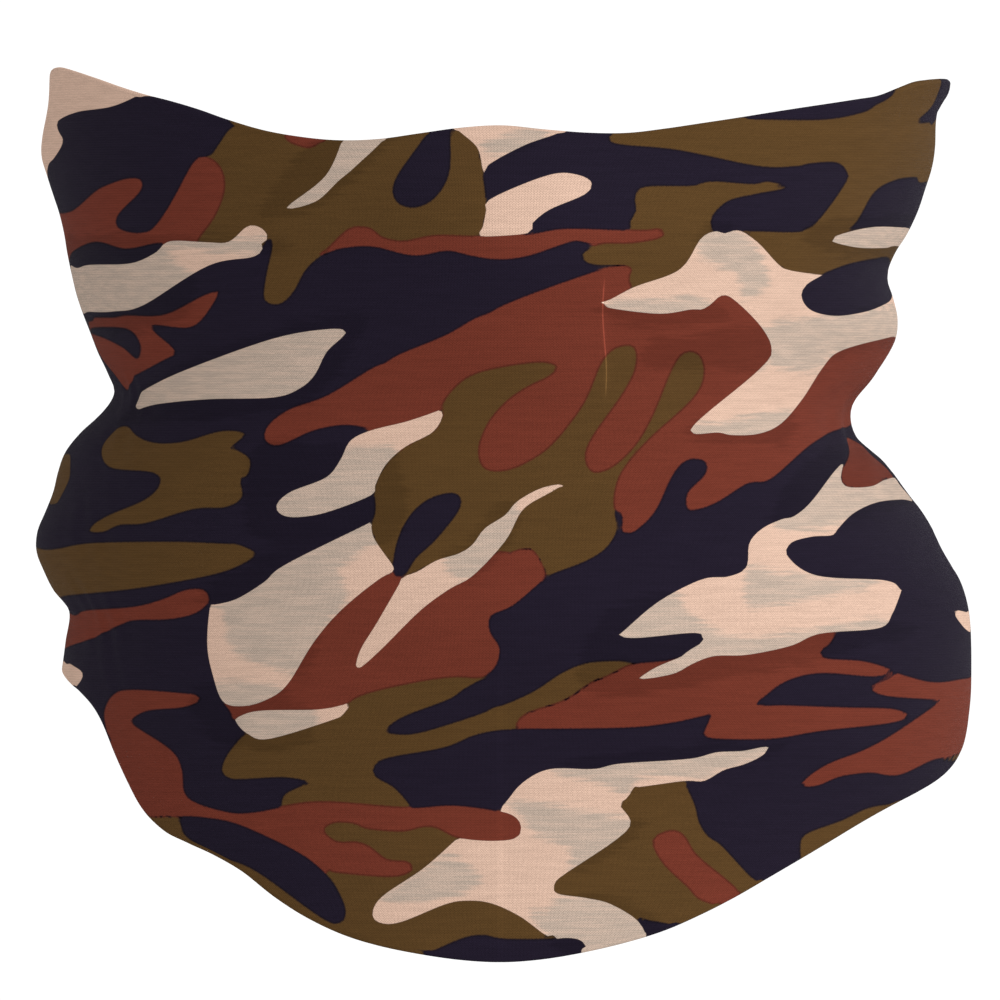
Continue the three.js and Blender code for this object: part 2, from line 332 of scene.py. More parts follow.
def sewn_panel(surface, relief, pattern_place):
    """Vertices, faces and flat-cloth addresses of a panel with its hems and seam allowances."""
    sideways, upward, outward = directions(surface)
    knit_across = travelled(surface).mean(axis=1)
    knit_up = surface[..., 2] - surface[..., 2].min()
    across = knit_across - knit_across.mean()
    grid = surface + relief(surface, across)[..., None] * outward
    grid[0] += SEAM_RADIUS * sideways[0]
    grid[-1] -= SEAM_RADIUS * sideways[-1]
    grid[:, 0] += FOLD_RADIUS * upward[:, 0]
    grid[:, -1] -= FOLD_RADIUS * upward[:, -1]
    print_across, print_up = pattern_place(surface, across)
    knit_across = np.repeat(knit_across[:, None], grid.shape[1], axis=1)
    low_rows, low_lengths = turned_edge(grid, outward, upward, True)
    top_rows, top_lengths = turned_edge(grid, outward, upward, False)

    def with_edges(values, low_change, top_change):
        low = values[:, :1] + low_change * low_lengths
        top = values[:, -1:] + top_change * top_lengths
        return np.concatenate([low[:, ::-1], values, top], axis=1)

    points = np.concatenate([low_rows[:, ::-1], grid, top_rows], axis=1)
    addresses = [with_edges(print_across, 0, 0), with_edges(print_up, -1, 1),
                 with_edges(knit_across, 0, 0), with_edges(knit_up, -1, 1)]
    index = np.arange(points.shape[0] * points.shape[1]).reshape(points.shape[:2])
    main = index[:, len(low_lengths):len(low_lengths) + grid.shape[1]]
    all_points = [points.reshape(-1, 3)]
    all_addresses = [np.stack(addresses, axis=-1).reshape(-1, 4)]
    facing_out = np.cross(grid[1, 5] - grid[0, 5], grid[0, 6] - grid[0, 5]) @ outward[0, 5] > 0
    faces = [quads(index, not facing_out)]
    seams = {}
    used = index.size
    for side, end, sign in (("left", 0, -1), ("right", -1, 1)):
        columns, lengths = turned_side(grid[end], sign * sideways[end], outward[end])
        block = used + np.arange(columns.shape[0] * columns.shape[1]).reshape(columns.shape[:2])
        joined = np.concatenate([main[end][None], block])
        faces.append(quads(joined, (sign > 0) != facing_out))
        all_points.append(columns.reshape(-1, 3))
        step = sign * lengths[:, None] + np.zeros(grid.shape[1])
        address = [print_across[end] + step, print_up[end] + 0 * step,
                   knit_across[end] + step, knit_up[end] + 0 * step]
        all_addresses.append(np.stack(address, axis=-1).reshape(-1, 4))
        seams[side] = (surface[end], outward[end])
        used += block.size
    sheet = {"grid": grid, "outward": outward, "upward": upward, "seams": seams}
    return np.concatenate(all_points), np.concatenate(faces), np.concatenate(all_addresses), sheet


# %% [markdown]
# ## Where the print lies
# The pattern was printed on flat cloth, so it needs a flat address. On the front, looked at straight on, the
# address is simply how far left or right and how high a point is. Towards the seams the cloth turns away
# from the viewer, and there the address keeps growing by at least three tenths of the cloth's own length,
# so that the pattern smears less. The back panel has the same pattern, turned half round and larger.

# %% Places on the print
LEAST_GROWTH = 0.3
BACK_PRINT_SCALE = 1.35
BACK_PRINT_MIDDLE = -30.0


def front_place(surface, across):
    """Print addresses of the front's points, in mm."""
    middle = surface.shape[0] // 2
    steps = np.diff(surface[..., 0], axis=0)
    lengths = np.linalg.norm(np.diff(surface, axis=0), axis=-1)
    growth = np.maximum(steps, LEAST_GROWTH * lengths)
    grown = np.concatenate([np.zeros((1, surface.shape[1])), np.cumsum(growth, axis=0)])
    return grown - grown[middle] + surface[middle, :, 0], surface[..., 2]


def back_place(surface, across):
    """Print addresses of the back's points, in mm."""
    place = across[:, None] / BACK_PRINT_SCALE + 0 * surface[..., 0]
    return place, BACK_PRINT_MIDDLE - surface[..., 2]


def front_relief(surface, across):
    """Waves and fold marks of the front, fading out at the outline so that it stays where it is."""
    x, z = surface[..., 0], surface[..., 2]
    calm = np.clip((across[-1] - np.abs(across)) / CALM_WIDTH, 0, 1)[:, None]
    return (waves(x, z, FRONT_WAVE_SEED) + FOLD_HEIGHT * front_folds(x, z)) * calm


def back_relief(surface, across):
    """Waves of the back."""
    calm = np.clip((across[-1] - np.abs(across)) / CALM_WIDTH, 0, 1)[:, None]
    x = across[:, None] + 0 * surface[..., 0]
    return BACK_WAVE_SCALE * waves(x, surface[..., 2], BACK_WAVE_SEED) * calm


front = sewn_panel(front_surface, front_relief, front_place)
back = sewn_panel(back_surface, back_relief, back_place)
print("front print reaches from", front[2][:, 0].min().round(1), "to", front[2][:, 0].max().round(1), "mm")
print("front and back faces:", len(front[1]), len(back[1]))

# %% [markdown]
# ## The camouflage, shape by shape
# Printers make a camouflage from a few flat inks, each pushed through its own screen. Here it is built the
# way a sign painter would: the whole cloth is navy, and each shape is laid on top of what is there. An
# outline is a list of points in millimetres, and the smooth closed curve through them is the shape. The
# first number of a point is millimetres to the right of the nose line, the second millimetres above the
# crease under the jaw. The order of the list is the order of painting.

# %% Outlines of the print
print_shapes = []


def paint(name, ink, outline):
    """Adds one shape of one ink to the print."""
    print_shapes.append((name, ink, np.array(outline, dtype=float)))


paint("upper_left_hand", "olive", [
    (-54.5, 56.3), (-52, 60), (-8, 60), (-9.9, 56), (-8, 54.3), (-5.2, 51.5), (-3.5, 42), (-3.8, 36.8),
    (-5.3, 33.3), (-8, 31.5), (-20, 31), (-30, 32.5), (-36.3, 30), (-40, 26.9), (-42.6, 22.2),
    (-45.5, 19.8), (-48.5, 20.8), (-48.3, 25.5), (-47.2, 31.5), (-48, 33.2), (-50, 31.5), (-62, 31.5),
    (-62.5, 36), (-61.5, 46), (-60.8, 49.9), (-59.4, 50.8), (-56, 55.2),
])
paint("upper_right_field", "olive", [
    (22.2, 55.6), (22.5, 62), (60, 72), (100, 72), (100, 30), (79.8, 29.8), (77, 29.5), (71, 28.2),
    (65.8, 26.3), (62, 25), (52, 30), (44, 33), (40, 31), (38.5, 28), (35, 24.5), (27, 22.3),
    (25.6, 25.2), (25.5, 27.4), (18.5, 27.7), (16.1, 29.1), (16.8, 30.6), (20.5, 32.6), (26.5, 34),
    (26, 35.2), (25.6, 36.2), (27, 39), (26.7, 41), (28.5, 43.7), (38.5, 44.1), (41, 44.8), (44, 45),
    (51, 44.5), (54, 45), (57.6, 44.2), (57, 43.3), (51.5, 42.2), (46, 40.8), (42.6, 37.6),
    (42.7, 34.9), (45, 34.2), (48, 34.9), (59.5, 34.7), (62, 35.4), (64.2, 37), (69.8, 44.4),
    (70.6, 46.6), (68.5, 48.8), (63, 48.6), (60, 48), (52, 48), (35, 51.2), (23, 52.4), (21.6, 54.4),
])
paint("left_hand", "olive", [
    (-84, -10), (-82.2, -5.9), (-78.5, -5), (-72.5, -8), (-66, -8.1), (-57.5, -5.9), (-52.6, -6.6),
    (-55.4, -9.4), (-54.2, -9.8), (-51.5, -11.8), (-51.9, -15), (-53.4, -16), (-53.1, -19.6),
    (-56.5, -21.7), (-63, -22.1), (-73, -24.9), (-78.5, -25.3), (-82, -26.7), (-85, -26.4),
    (-82, -23.7), (-73, -20), (-69.9, -16.8), (-71.6, -14.6), (-80.5, -13.6),
])
paint("left_edge_sliver", "olive", [
    (-91.8, -11.8), (-91.2, -15.5), (-93, -19.2), (-94.2, -21), (-99, -20), (-99, -12), (-94, -10.5),
])
paint("left_tongue", "olive", [
    (-93, -30.2), (-84.5, -28.8), (-68, -28.5), (-57, -28.9), (-54, -29.1), (-50.4, -31),
    (-53.5, -33.4), (-60, -35.6), (-75, -38.3), (-90, -39.8), (-100, -40.5), (-102, -30.5),
])
paint("lower_field", "olive", [
    (-52.5, -67.6), (-53.8, -68.9), (-56.5, -72.5), (-57.4, -75.5), (-55.8, -77), (-53, -77.2),
    (-45, -76.8), (-39.8, -77.7), (-41.5, -78.5), (-44.8, -80.2), (-45.5, -82.6), (-44, -84),
    (-30, -84), (-18.6, -84), (-18.6, -82.7), (-22, -78.8), (-26, -76.4), (-26, -74.2), (-23, -72.7),
    (-12, -70.6), (-6, -68.2), (-1, -67.1), (2.7, -66.7), (4.5, -63.8), (12.5, -60.8), (18, -57.2),
    (26.8, -53.2), (18, -53.1), (12, -55.3), (6.5, -58.9), (1, -61.5), (-2, -62.4), (-5, -63.8),
    (-17, -67.4), (-22.3, -67.6), (-23.5, -66.7), (-20, -64.2), (-11, -60.9), (-8, -58.9), (-5, -57.2),
    (-2.8, -55.8), (-10, -54), (-30, -58), (-45, -62), (-53, -64.8),
])
paint("hem_field", "olive", [
    (-95, -85), (-66, -85), (-40, -84), (-8, -86), (-8, -92), (20, -100), (13, -108), (11, -109.4),
    (0, -109.5), (-4, -108.8), (-8, -109.4), (-14, -112), (-16, -112.6), (-20, -118), (-60, -118),
    (-95, -100),
])
paint("chin_field", "olive", [
    (26, -77), (37, -76.5), (37, -77.4), (39.2, -82.3), (40.1, -85.8), (42, -88.6), (45, -90.7),
    (50.3, -96.6), (52.8, -98.2), (56, -99.5), (56, -104), (36, -116), (20, -114), (15, -103), (8, -99),
    (16, -92), (21, -87), (21, -81),
])
paint("right_hem_field", "olive", [
    (82, -82.1), (75.2, -83), (69.5, -85.5), (62, -88.2), (60.6, -90.5), (60.7, -94), (61, -100),
    (90, -92), (90, -82),
])
paint("upper_left_ribbon", "rust", [
    (-90, 39.1), (-87.5, 39.9), (-84, 43), (-81.5, 44.4), (-77, 45.8), (-74.2, 45.4), (-74.4, 43),
    (-78.7, 38.3), (-78.3, 35.6), (-73.8, 34.7), (-70.5, 36.9), (-63.8, 48.5), (-60.5, 49.9),
    (-57.8, 47.5), (-57.2, 43), (-59, 37.8), (-62.2, 33.2), (-62.5, 31.5), (-66, 30.8), (-69.2, 32.2),
    (-71, 32.3), (-77, 31.3), (-83, 32.8), (-88.8, 30.9), (-95, 29), (-98, 38),
])
paint("top_left_dot", "rust", [
    (-44.3, 54.6), (-43.5, 53), (-40, 51.8), (-38, 52.3), (-36.2, 54.2), (-38, 57), (-43, 58),
])
paint("centre_sweep", "rust", [
    (25.8, 27.3), (20, 26.9), (2, 20.3), (-3, 18), (-6, 16.9), (-12, 13.6), (-21, 9.8), (-24, 8),
    (-27, 6.7), (-36, 1.3), (-44, -1.6), (-48.2, -5), (-48.5, -8), (-45.5, -9), (-39, -6.1),
    (-33, -4.9), (-28.5, -5.4), (-26.5, -6.5), (-15, -14), (8, -20), (22.7, -22), (24, -26.5),
    (25.5, -26.9), (27, -26.5), (31, -22.5), (35, -14.8), (38, -11.9), (41.3, -12.3), (41.2, -14.8),
    (38, -18), (37.2, -20), (38, -22.3), (43, -21), (49, -17.3), (51, -16.6), (55, -15.7), (64, -8.2),
    (71.5, -5.5), (80, -5), (90, 0), (90, 14), (81, 13.6), (60, 14), (50, 24), (40, 23), (27.3, 22.8),
    (26.2, 23.5), (25.6, 25),
])
paint("forehead_ribbon", "rust", [
    (-37.4, 30.2), (-36, 31), (-31.6, 35.1), (-27.6, 35.3), (-24.8, 33.3), (-20.5, 32.5), (-14, 33.7),
    (-5, 33.5), (5, 34), (13, 35.2), (28, 34.8), (31, 35.1), (32.4, 34.8), (32.6, 34.1), (31.3, 33.2),
    (26, 32.3), (20.5, 32.2), (18.8, 31.7), (15.5, 32.5), (13, 32.1), (5, 29.4), (-1, 28.7),
    (-6.5, 29.4), (-11.5, 30.4), (-18.5, 29.4), (-27, 31.3), (-33, 31), (-36.8, 29.8),
])
paint("left_fork", "rust", [
    (-85.2, 16.8), (-84.4, 17.4), (-80, 17.4), (-77, 17.8), (-69, 18), (-60.5, 22), (-57.6, 22.3),
    (-60.8, 17.3), (-64.5, 15), (-71.3, 15.6), (-71.3, 14.3), (-67.4, 10.2), (-70, 8.2), (-80, 3.3),
    (-84, 3), (-88, 10), (-88, 16),
])
paint("left_fork_gap", "navy", [
    (-84.9, 15.2), (-77.2, 14.9), (-74.6, 12), (-75.2, 8.9), (-78, 11.3), (-82.5, 13.5), (-88, 14.5),
])
paint("right_patch", "rust", [
    (72.6, -10), (70, -13), (69.4, -15), (70.5, -17.2), (76, -17.4), (79, -16.6), (81.4, -15.5),
    (86, -16), (84, -11), (78, -7.5), (74.5, -7.6),
])
paint("left_low_tongue", "rust", [
    (-89.5, -43.6), (-87, -42.7), (-76, -41.9), (-70, -40.4), (-65, -38.4), (-61.3, -38.4),
    (-60.1, -40.8), (-63, -43.4), (-68.5, -44.6), (-75, -44.8), (-78, -45.6), (-87, -49.4),
    (-96, -50.5), (-96, -43.8),
])
paint("lower_right_sweep", "rust", [
    (2.7, -66.7), (4.5, -63.8), (12.5, -60.8), (18, -57.2), (21, -56), (26.5, -53.4), (33.5, -52.6),
    (43, -50.5), (50, -50), (59, -48.5), (65, -46.5), (67.9, -46.8), (68, -48), (66.8, -49.8),
    (65.2, -51), (66.5, -52.4), (74, -53), (80, -55.1), (76, -56.3), (65, -55.6), (58, -57.2),
    (53.5, -60.2), (52, -61.8), (58, -61.9), (70, -62.4), (80, -62.8), (83.2, -64.4), (79, -65.9),
    (65, -67.3), (55, -68.9), (45, -69), (41.3, -68.5), (41, -67.5), (42.4, -64), (41, -64.3),
    (34, -65.8), (25, -66.7), (5, -66.8),
])
paint("right_edge_sweep", "rust", [
    (80.8, -55.5), (83, -56.1), (89, -57.4), (97, -56.7), (108, -57), (108, -69), (93.1, -72.4),
    (91.5, -73), (88, -73.5), (82, -76.2), (79, -76.6), (75, -76), (69, -76.8), (65, -78.5),
    (62, -78.8), (61.3, -77.6), (66, -74), (73.5, -71), (80, -67.7), (88, -62.7), (89.2, -61.5),
    (89, -61.2), (78.5, -60.3), (75.4, -58.4), (79, -56.6),
])
paint("chin_dash", "rust", [
    (30.6, -89.5), (34, -87.6), (36.8, -88.5), (39.6, -92.5), (46, -98), (48.2, -100.6), (50, -106),
    (44, -103), (40, -101.4), (37.6, -98.8), (32.5, -93.8),
])
paint("right_edge_bit", "olive", [
    (90, -73.3), (91, -73.7), (96, -73.8), (96, -72.2), (92.9, -72.6), (91.5, -73),
])
paint("fingered_head", "olive", [
    (-26.1, -22), (-26.1, -17.5), (-23.9, -13), (-20, -9.3), (-14.5, -6.4), (-12.4, -3.3), (-12, 0.2),
    (-6, 5.6), (6, 8.1), (10.9, 7.3), (9.5, 5.3), (5, 3), (0.8, 0), (-2.9, -4.3), (-4.9, -9.5),
    (-3.8, -13.5), (0.5, -14), (5.5, -12), (10.5, -8.2), (16.2, -0.6), (19.9, 7.8), (23, 10.9),
    (26.6, 11.2), (27.2, 7.8), (25.2, 3), (18.3, -7.2), (16.9, -11.6), (18.6, -14.3), (22.3, -13.3),
    (26.2, -9.9), (29.2, -5.2), (34.6, 6.9), (37.3, 10.1), (40.3, 9.2), (41, 5.2), (38.5, 0.5),
    (30, -7.5), (24.6, -14), (22.8, -19), (22.8, -23), (23.2, -26.3), (21, -30), (17, -32.6),
    (11, -34.9), (8.9, -35.6), (8.3, -33.9), (6.3, -30.6), (3.5, -30.3), (-5, -32), (-14, -33),
    (-20.2, -35.8), (-22.3, -33.6), (-25, -30.2), (-26.7, -26),
])
paint("lower_centre", "rust", [
    (-22, -34.5), (-20.4, -35.5), (-10, -35), (-1.5, -30.9), (1.5, -30.9), (3.5, -30.2), (6.3, -30.6),
    (8.8, -35.6), (7.6, -37), (2, -41.7), (-1.5, -43.2), (-2.7, -44.3), (-2.5, -47), (-0.6, -50.3),
    (-1.5, -54.2), (-4.5, -56.3), (-10, -56.2), (-18, -57.3), (-29, -59.9), (-36, -64), (-50, -65),
    (-54.6, -65.3), (-55.8, -63.3), (-57.2, -61.2), (-57, -58), (-50, -55), (-42, -50), (-30, -38.5),
])
paint("top_left_corner", "cream", [
    (-104, 76), (-70, 76), (-69.5, 65.5), (-74, 63), (-80, 60.5), (-87, 59.5), (-91.3, 57.9),
    (-91.9, 56.8), (-91.4, 55.4), (-90.6, 54.1), (-91, 52.6), (-92.5, 50.7), (-94.8, 49.2), (-104, 46),
])
paint("left_stripe", "cream", [
    (-84.5, 28.2), (-76, 28.4), (-71, 30.4), (-68.9, 32.4), (-66.5, 32.9), (-60, 32.5), (-56, 32.6),
    (-52.7, 35.4), (-51, 35.9), (-49.2, 35.2), (-48.1, 33.7), (-48.5, 32.6), (-49.4, 32.2), (-49, 31.3),
    (-51, 29.5), (-60, 27.8), (-73.3, 19.9), (-80, 18.5), (-86, 18.5), (-92, 19), (-93, 27.6),
    (-88, 27.6),
])
paint("left_leaf", "cream", [
    (-77.5, -0.6), (-74, 2.2), (-65, 6.5), (-47, 12.8), (-36, 14.8), (-31.8, 14.2), (-35.8, 10.2),
    (-38.4, 5.5), (-41.5, 2.7), (-47, 0.8), (-60, 0.5), (-70, -0.4), (-75.5, -1.5),
])
paint("forehead_streak", "cream", [
    (-36, 46), (-44.2, 39.6), (-38.2, 40.8), (-33.5, 44.8), (-30, 47.6), (-24, 53.7), (-24, 57),
    (-32, 57), (-32.6, 53.6),
])
paint("forehead_top", "cream", [
    (-9.8, 55.9), (-5.2, 51.5), (-3.9, 46), (-2.8, 48), (4.5, 52), (12.4, 55.3), (12, 59), (-10, 59),
])
paint("forehead_leaf", "cream", [
    (-3.2, 40.7), (2.5, 43.5), (10.5, 46.2), (15.5, 45.9), (18, 44.3), (16.5, 42), (9.5, 39), (6, 36.2),
    (5.2, 34.2), (-5, 33.5), (-4.3, 34.8), (-3.4, 39),
])
paint("right_sliver", "cream", [
    (67, 33.3), (75, 35.8), (83.4, 36), (90, 36.5), (89, 32.5), (81, 32.2), (78, 31.7), (72, 31.7),
])
paint("right_branch", "cream", [
    (19.9, 19.9), (22, 20.7), (27, 23.3), (36, 26.8), (40, 33.1), (43, 34.7), (45, 34.3), (47, 34.9),
    (49, 34.5), (52.5, 32), (56.3, 28), (58.3, 26.9), (63, 26.2), (65.8, 26.3), (62, 24), (60.9, 21.5),
    (63, 18.7), (68, 17.6), (74, 18.4), (80.6, 20.4), (90, 22), (90, 13.5), (80.8, 13.4), (69.5, 10.5),
    (65.5, 6.9), (61.3, 0.7), (57, -4.4), (52.5, -6.5), (47, -6.8), (44, -6.3), (38.7, -6.5),
    (40, -3.7), (52.5, 6.8), (55, 10.5), (53, 15), (47.5, 20.5), (44.8, 21.6), (42.3, 19.6),
    (40.5, 18.7), (38.5, 18.7), (32, 17.8), (22.5, 18.8),
])
paint("mid_leaf", "cream", [
    (-12.8, -1.9), (-15, -2.6), (-20, -4.2), (-27, -5.9), (-31.2, -8), (-33.1, -12), (-36, -15.6),
    (-43.5, -18.6), (-46.2, -21.5), (-44, -23.5), (-38, -23.1), (-31, -20.9), (-26.3, -18.8),
    (-26.1, -17.5), (-23.9, -13), (-20, -9.3), (-14.5, -6.4), (-12.4, -3.3),
])
paint("left_centre", "cream", [
    (-59.9, -41.7), (-60.3, -50), (-59.2, -56), (-57.2, -61.2), (-53.5, -62.2), (-48.8, -61.1),
    (-44, -57.8), (-38.5, -48.8), (-33, -42.5), (-25, -36.1), (-22, -34.7), (-22.3, -33.6),
    (-26.2, -28), (-27, -24.8), (-28, -25.1), (-44.5, -33.4), (-48.7, -36.8), (-54.5, -40.3),
    (-59, -41.5),
])
paint("left_foot", "cream", [
    (-54.5, -65.3), (-53.8, -64.3), (-49.5, -63.1), (-38, -62.8), (-32.5, -61.8), (-30.7, -61),
    (-32.3, -63.5), (-34.5, -64.8), (-47.5, -68.8), (-52, -67.8),
])
paint("diagonal_spike", "cream", [
    (-29.8, -54.6), (-29.2, -50.8), (-25.5, -44.8), (-21.3, -37.5), (-20.4, -35.8), (-17.5, -34.7),
    (-13.5, -32.4), (-9, -31), (-6.2, -29.2), (-3.7, -25.9), (0.4, -23.2), (3, -20.3), (8, -17.6),
    (12.6, -16.9), (9, -18.9), (4, -22.1), (0.5, -28.4), (-6, -35.4), (-11, -38.3), (-17, -42.8),
    (-25.5, -51.2),
])
paint("right_low_branch", "cream", [
    (53, -25.9), (50.3, -28.9), (49.6, -33.8), (46, -35.7), (40.5, -36.3), (32, -40.7), (24.8, -46.7),
    (23.8, -47.9), (28, -48.2), (39, -47.2), (40.9, -48.3), (40.2, -49.4), (37.5, -50.9), (36.3, -51.9),
    (31, -54.1), (27.7, -56.4), (34.5, -55.4), (38.5, -53.4), (43, -51.9), (50, -51.7), (59, -49.9),
    (65, -47.4), (77, -46.3), (79.8, -43.5), (81.5, -39.2), (81.3, -38.2), (78, -36.6), (64, -35.6),
    (58.2, -31.7), (58.8, -28.9), (63, -27.6), (67.3, -27.3), (68.5, -26), (71.8, -22.8), (77, -20.5),
    (84.6, -19.9), (92, -20), (88, -15.8), (81.4, -15.9), (76, -17.2), (70.8, -17.3), (69.4, -15.6),
    (69.9, -12.6), (68, -14.2),
    (63, -20.5), (59.5, -23.4), (57, -24),
])
paint("left_edge_chip", "cream", [
    (-91, -53.8), (-89, -53.9), (-85.9, -55.8), (-88.3, -58.9), (-94, -60), (-95, -53.6),
])
paint("right_edge_chip", "cream", [
    (97, -43.2), (93, -42.9), (93.3, -44.6), (96.2, -46.7), (100, -47), (100, -43.2),
])
paint("hem_right_navy", "navy", [
    (27.4, -106), (30, -106), (35.2, -107.1), (38, -108.5), (36, -114), (27, -114),
])
paint("chin_branch", "cream", [
    (-0.8, -83.2), (3.8, -77.9), (9.5, -75), (18.5, -75), (24, -73.9), (38, -72.9), (43.5, -71.6),
    (49, -71.3), (53, -70.5), (54.3, -70.8), (52.5, -72.5), (49, -74.1), (45, -75.2), (41, -77.4),
    (37, -77.4), (28, -78.6), (26.7, -78.5), (25.5, -80.7), (23.4, -82.3), (24.3, -83), (26, -86.2),
    (22.5, -89.8), (12, -96.8), (10.4, -98.8), (11.2, -100.4), (17, -101.2), (22, -102.4), (27.5, -106),
    (29.3, -111), (28, -118), (16, -118), (11, -109.4), (9.5, -109), (8, -108.2), (3.5, -105),
    (-2, -102.5), (-6.5, -101.8), (-11.5, -102.4), (-20.5, -106), (-24.5, -106.4), (-26.6, -104.8),
    (-24.8, -101), (-16, -95), (-9.3, -89.1), (-8.5, -88.9),
])
paint("chin_left", "rust", [
    (-61.9, -61.2), (-62.6, -59.9), (-65, -59.5), (-76, -58.8), (-80, -60.1), (-82.1, -63.8),
    (-81.5, -68), (-80.7, -69.6), (-84, -76), (-95, -80), (-95, -85), (-72.6, -85), (-66.4, -85),
    (-60, -88), (-45, -94), (-38, -97.5), (-35.6, -95.5), (-34, -96), (-23, -96.8), (-18.7, -95.6),
    (-19.5, -93.9), (-23.7, -93.4), (-27.3, -90.8), (-30, -89.9), (-34, -89.8), (-36.6, -87.5),
    (-34.5, -85.9), (-30.5, -86), (-27.5, -87.1), (-20.5, -87.6), (-16.5, -86.7), (-13.5, -86.9),
    (-9.5, -88.8), (-4.5, -89.5), (1, -89.4), (3.4, -88.3), (3.3, -85.6), (0, -83.7), (-10, -82.3),
    (-20, -82.8), (-38, -81.7), (-51, -83.8), (-57, -83.7), (-64.4, -80.9), (-65.5, -75.5),
    (-66.8, -72.3), (-69.7, -69.8), (-75.4, -66.3), (-75.9, -65), (-72.5, -63.3), (-65.5, -62.6),
])
paint("hand_drop", "navy", [
    (-14.8, 55.2), (-16.5, 52.8), (-21.7, 44.8), (-21.6, 40.8), (-18, 39.5), (-13.8, 41.4), (-11, 46.2),
    (-10.8, 54), (-10.5, 58), (-15, 58),
])
paint("top_right_bay", "navy", [
    (50.5, 58.2), (54, 57.7), (66, 57.8), (73.5, 59.4), (76, 60.9), (79, 62.8), (79, 67), (50, 62),
])
paint("tip", "navy", [
    (91, 66.3), (89.3, 61.4), (85, 57.7), (88.2, 57.6), (90, 57.5), (97, 62), (97, 70), (91, 70),
])
paint("right_bay", "navy", [
    (87, 45), (85.5, 46), (81, 45.4), (76.4, 42.9), (72.5, 37), (70.6, 35), (73, 35.7), (80, 36.1),
    (94, 36.4), (94, 44.6),
])
paint("head_drop", "navy", [
    (-8.9, -21.8), (-13.5, -27.9), (-17.8, -31.9), (-20, -35.2), (-22, -35.2), (-22, -31.2),
    (-20.5, -26.2), (-17.8, -22.1), (-14, -19.5), (-9.6, -18.9),
])
paint("chin_left_bay", "navy", [
    (-66.1, -85), (-61.5, -85.1), (-54, -86.6), (-42, -92), (-36, -96.7), (-33.4, -100.5),
    (-32.2, -104), (-33.3, -106.2), (-37, -105.2), (-50, -96), (-57, -93), (-64.5, -89.2), (-66, -86.2),
])
paint("hem_bay", "navy", [
    (16.9, -111.2), (15.5, -109.7), (12.5, -109.3), (9, -109.7), (0, -109.5), (-4, -108.8),
    (-8, -109.4), (-14, -112), (-16, -112.6), (14, -118), (16, -112.6),
])
print(len(print_shapes), "shapes from", sum(len(shape[2]) for shape in print_shapes), "points")

# %% [markdown]
# The cloth is thin and pale, and where nothing is printed the dark back of the tube would show through it.
# That is painted shade: a grey show-through shade in these soft-edged patches, while other places stay warm.
# Under an ink the same painted shade is only a slight darkening.

# %% Where the painted show-through shade lies
show_through_shade_patches = []


def grey(*outline):
    """Adds one patch of painted show-through shade."""
    show_through_shade_patches.append(np.array(outline, dtype=float))


grey((-100, 33), (-47, 33), (-47, 30), (-68, 31), (-62, 24), (-70, 15), (-100, 15))
grey((-82, -3), (-60, 10), (-30, 18), (-30, 12), (-42, -1), (-70, -4))
grey((-50, 38), (-34, 58), (-20, 58), (-34, 42))
grey((-4, 52), (6, 56), (9, 54), (2, 50))
grey((65, 37), (95, 38), (95, 29), (65, 31))
grey((39, 31), (43, 28), (47, 26.5), (48.5, 24), (49.5, 21), (54, 24), (52, 31), (46, 36), (41, 36))
grey((19, 18), (21, 19.8), (24, 20.8), (28, 20.9), (34, 20.9), (40, 21), (46, 17), (30, 15))
grey((53, 14.5), (62, 17), (85, 20), (86, 12.5), (70, 10), (64, 6.5), (55, 7.8))
grey((38, -4.5), (44, -4.2), (52, -2.6), (59, -2), (58, -8), (40, -8))
grey((-50, -9), (-30, -9.5), (-22, -10.5), (-22, -28), (-50, -28))
grey((-57, -43), (-56, -50), (-49, -53.8), (-40, -55), (-37, -47), (-32, -40), (-33, -34), (-29, -31),
     (-26, -24), (-46, -30), (-62, -39))
grey((-62, -58), (-46, -58), (-44, -64), (-62, -66))
grey((-12, -31), (-10.8, -35), (-6, -36.4), (0, -30.5), (3.5, -24), (1, -20.5), (-5, -25), (-8, -29.5))
grey((-58, -62), (-40, -62), (-40, -70), (-58, -70))
grey((34, -39), (38, -42.8), (43, -46.3), (51, -48.2), (60, -46.8), (78, -44.6), (80, -49), (20, -60),
     (20, -44))
grey((50, -34), (57, -35), (60, -34.7), (66, -36), (76, -36), (74, -38), (66, -39.7), (56, -41.5),
     (50, -41.5))
grey((55, -24), (64, -26), (84, -21), (95, -20), (95, -10), (66, -10))
grey((-25, -100.8), (-19, -97.3), (-12.5, -93), (-7.5, -94.4), (-4.6, -97.4), (-8, -100.3), (-15, -102))
grey((1, -81.5), (12, -82.3), (23, -84.5), (29, -86), (21, -93), (14, -95.5), (13.5, -91.5), (6.5, -88),
     (3, -84))
grey((11, -74), (12, -76), (19, -77.4), (25, -79.8), (28, -76.6), (42, -76.2), (58, -70), (30, -71))
grey((28, 7.5), (29.5, 12), (32, 13.7), (38, 13.4), (48, 15.4), (53, 15.7), (55.5, 10.6), (52, 6.6),
     (37, 6.5))
grey((6, -105), (9, -104), (12.5, -101), (24, -101), (33, -108), (26, -116), (14, -114))
print(len(show_through_shade_patches), "grey patches")

# %% [markdown]
# ## Distance fields
# A material can't hold a list of points, but it can read a number from every vertex. So each ink gets one
# number per vertex: how many millimetres the vertex lies outside that ink's area, negative inside. Blender
# fills in the values between vertices, and the edge, where the number is zero, comes out sharp and smooth
# even though the mesh is much coarser than the edge.

# %% Signed distances
FARTHEST = 4.0


def closed_curve(outline, steps=7):
    """The smooth closed curve through an outline's points."""
    before, after, beyond = np.roll(outline, 1, 0), np.roll(outline, -1, 0), np.roll(outline, -2, 0)
    parts = [blend_points(before, outline, after, beyond, step / steps) for step in range(steps)]
    return np.stack(parts, axis=1).reshape(-1, 2)


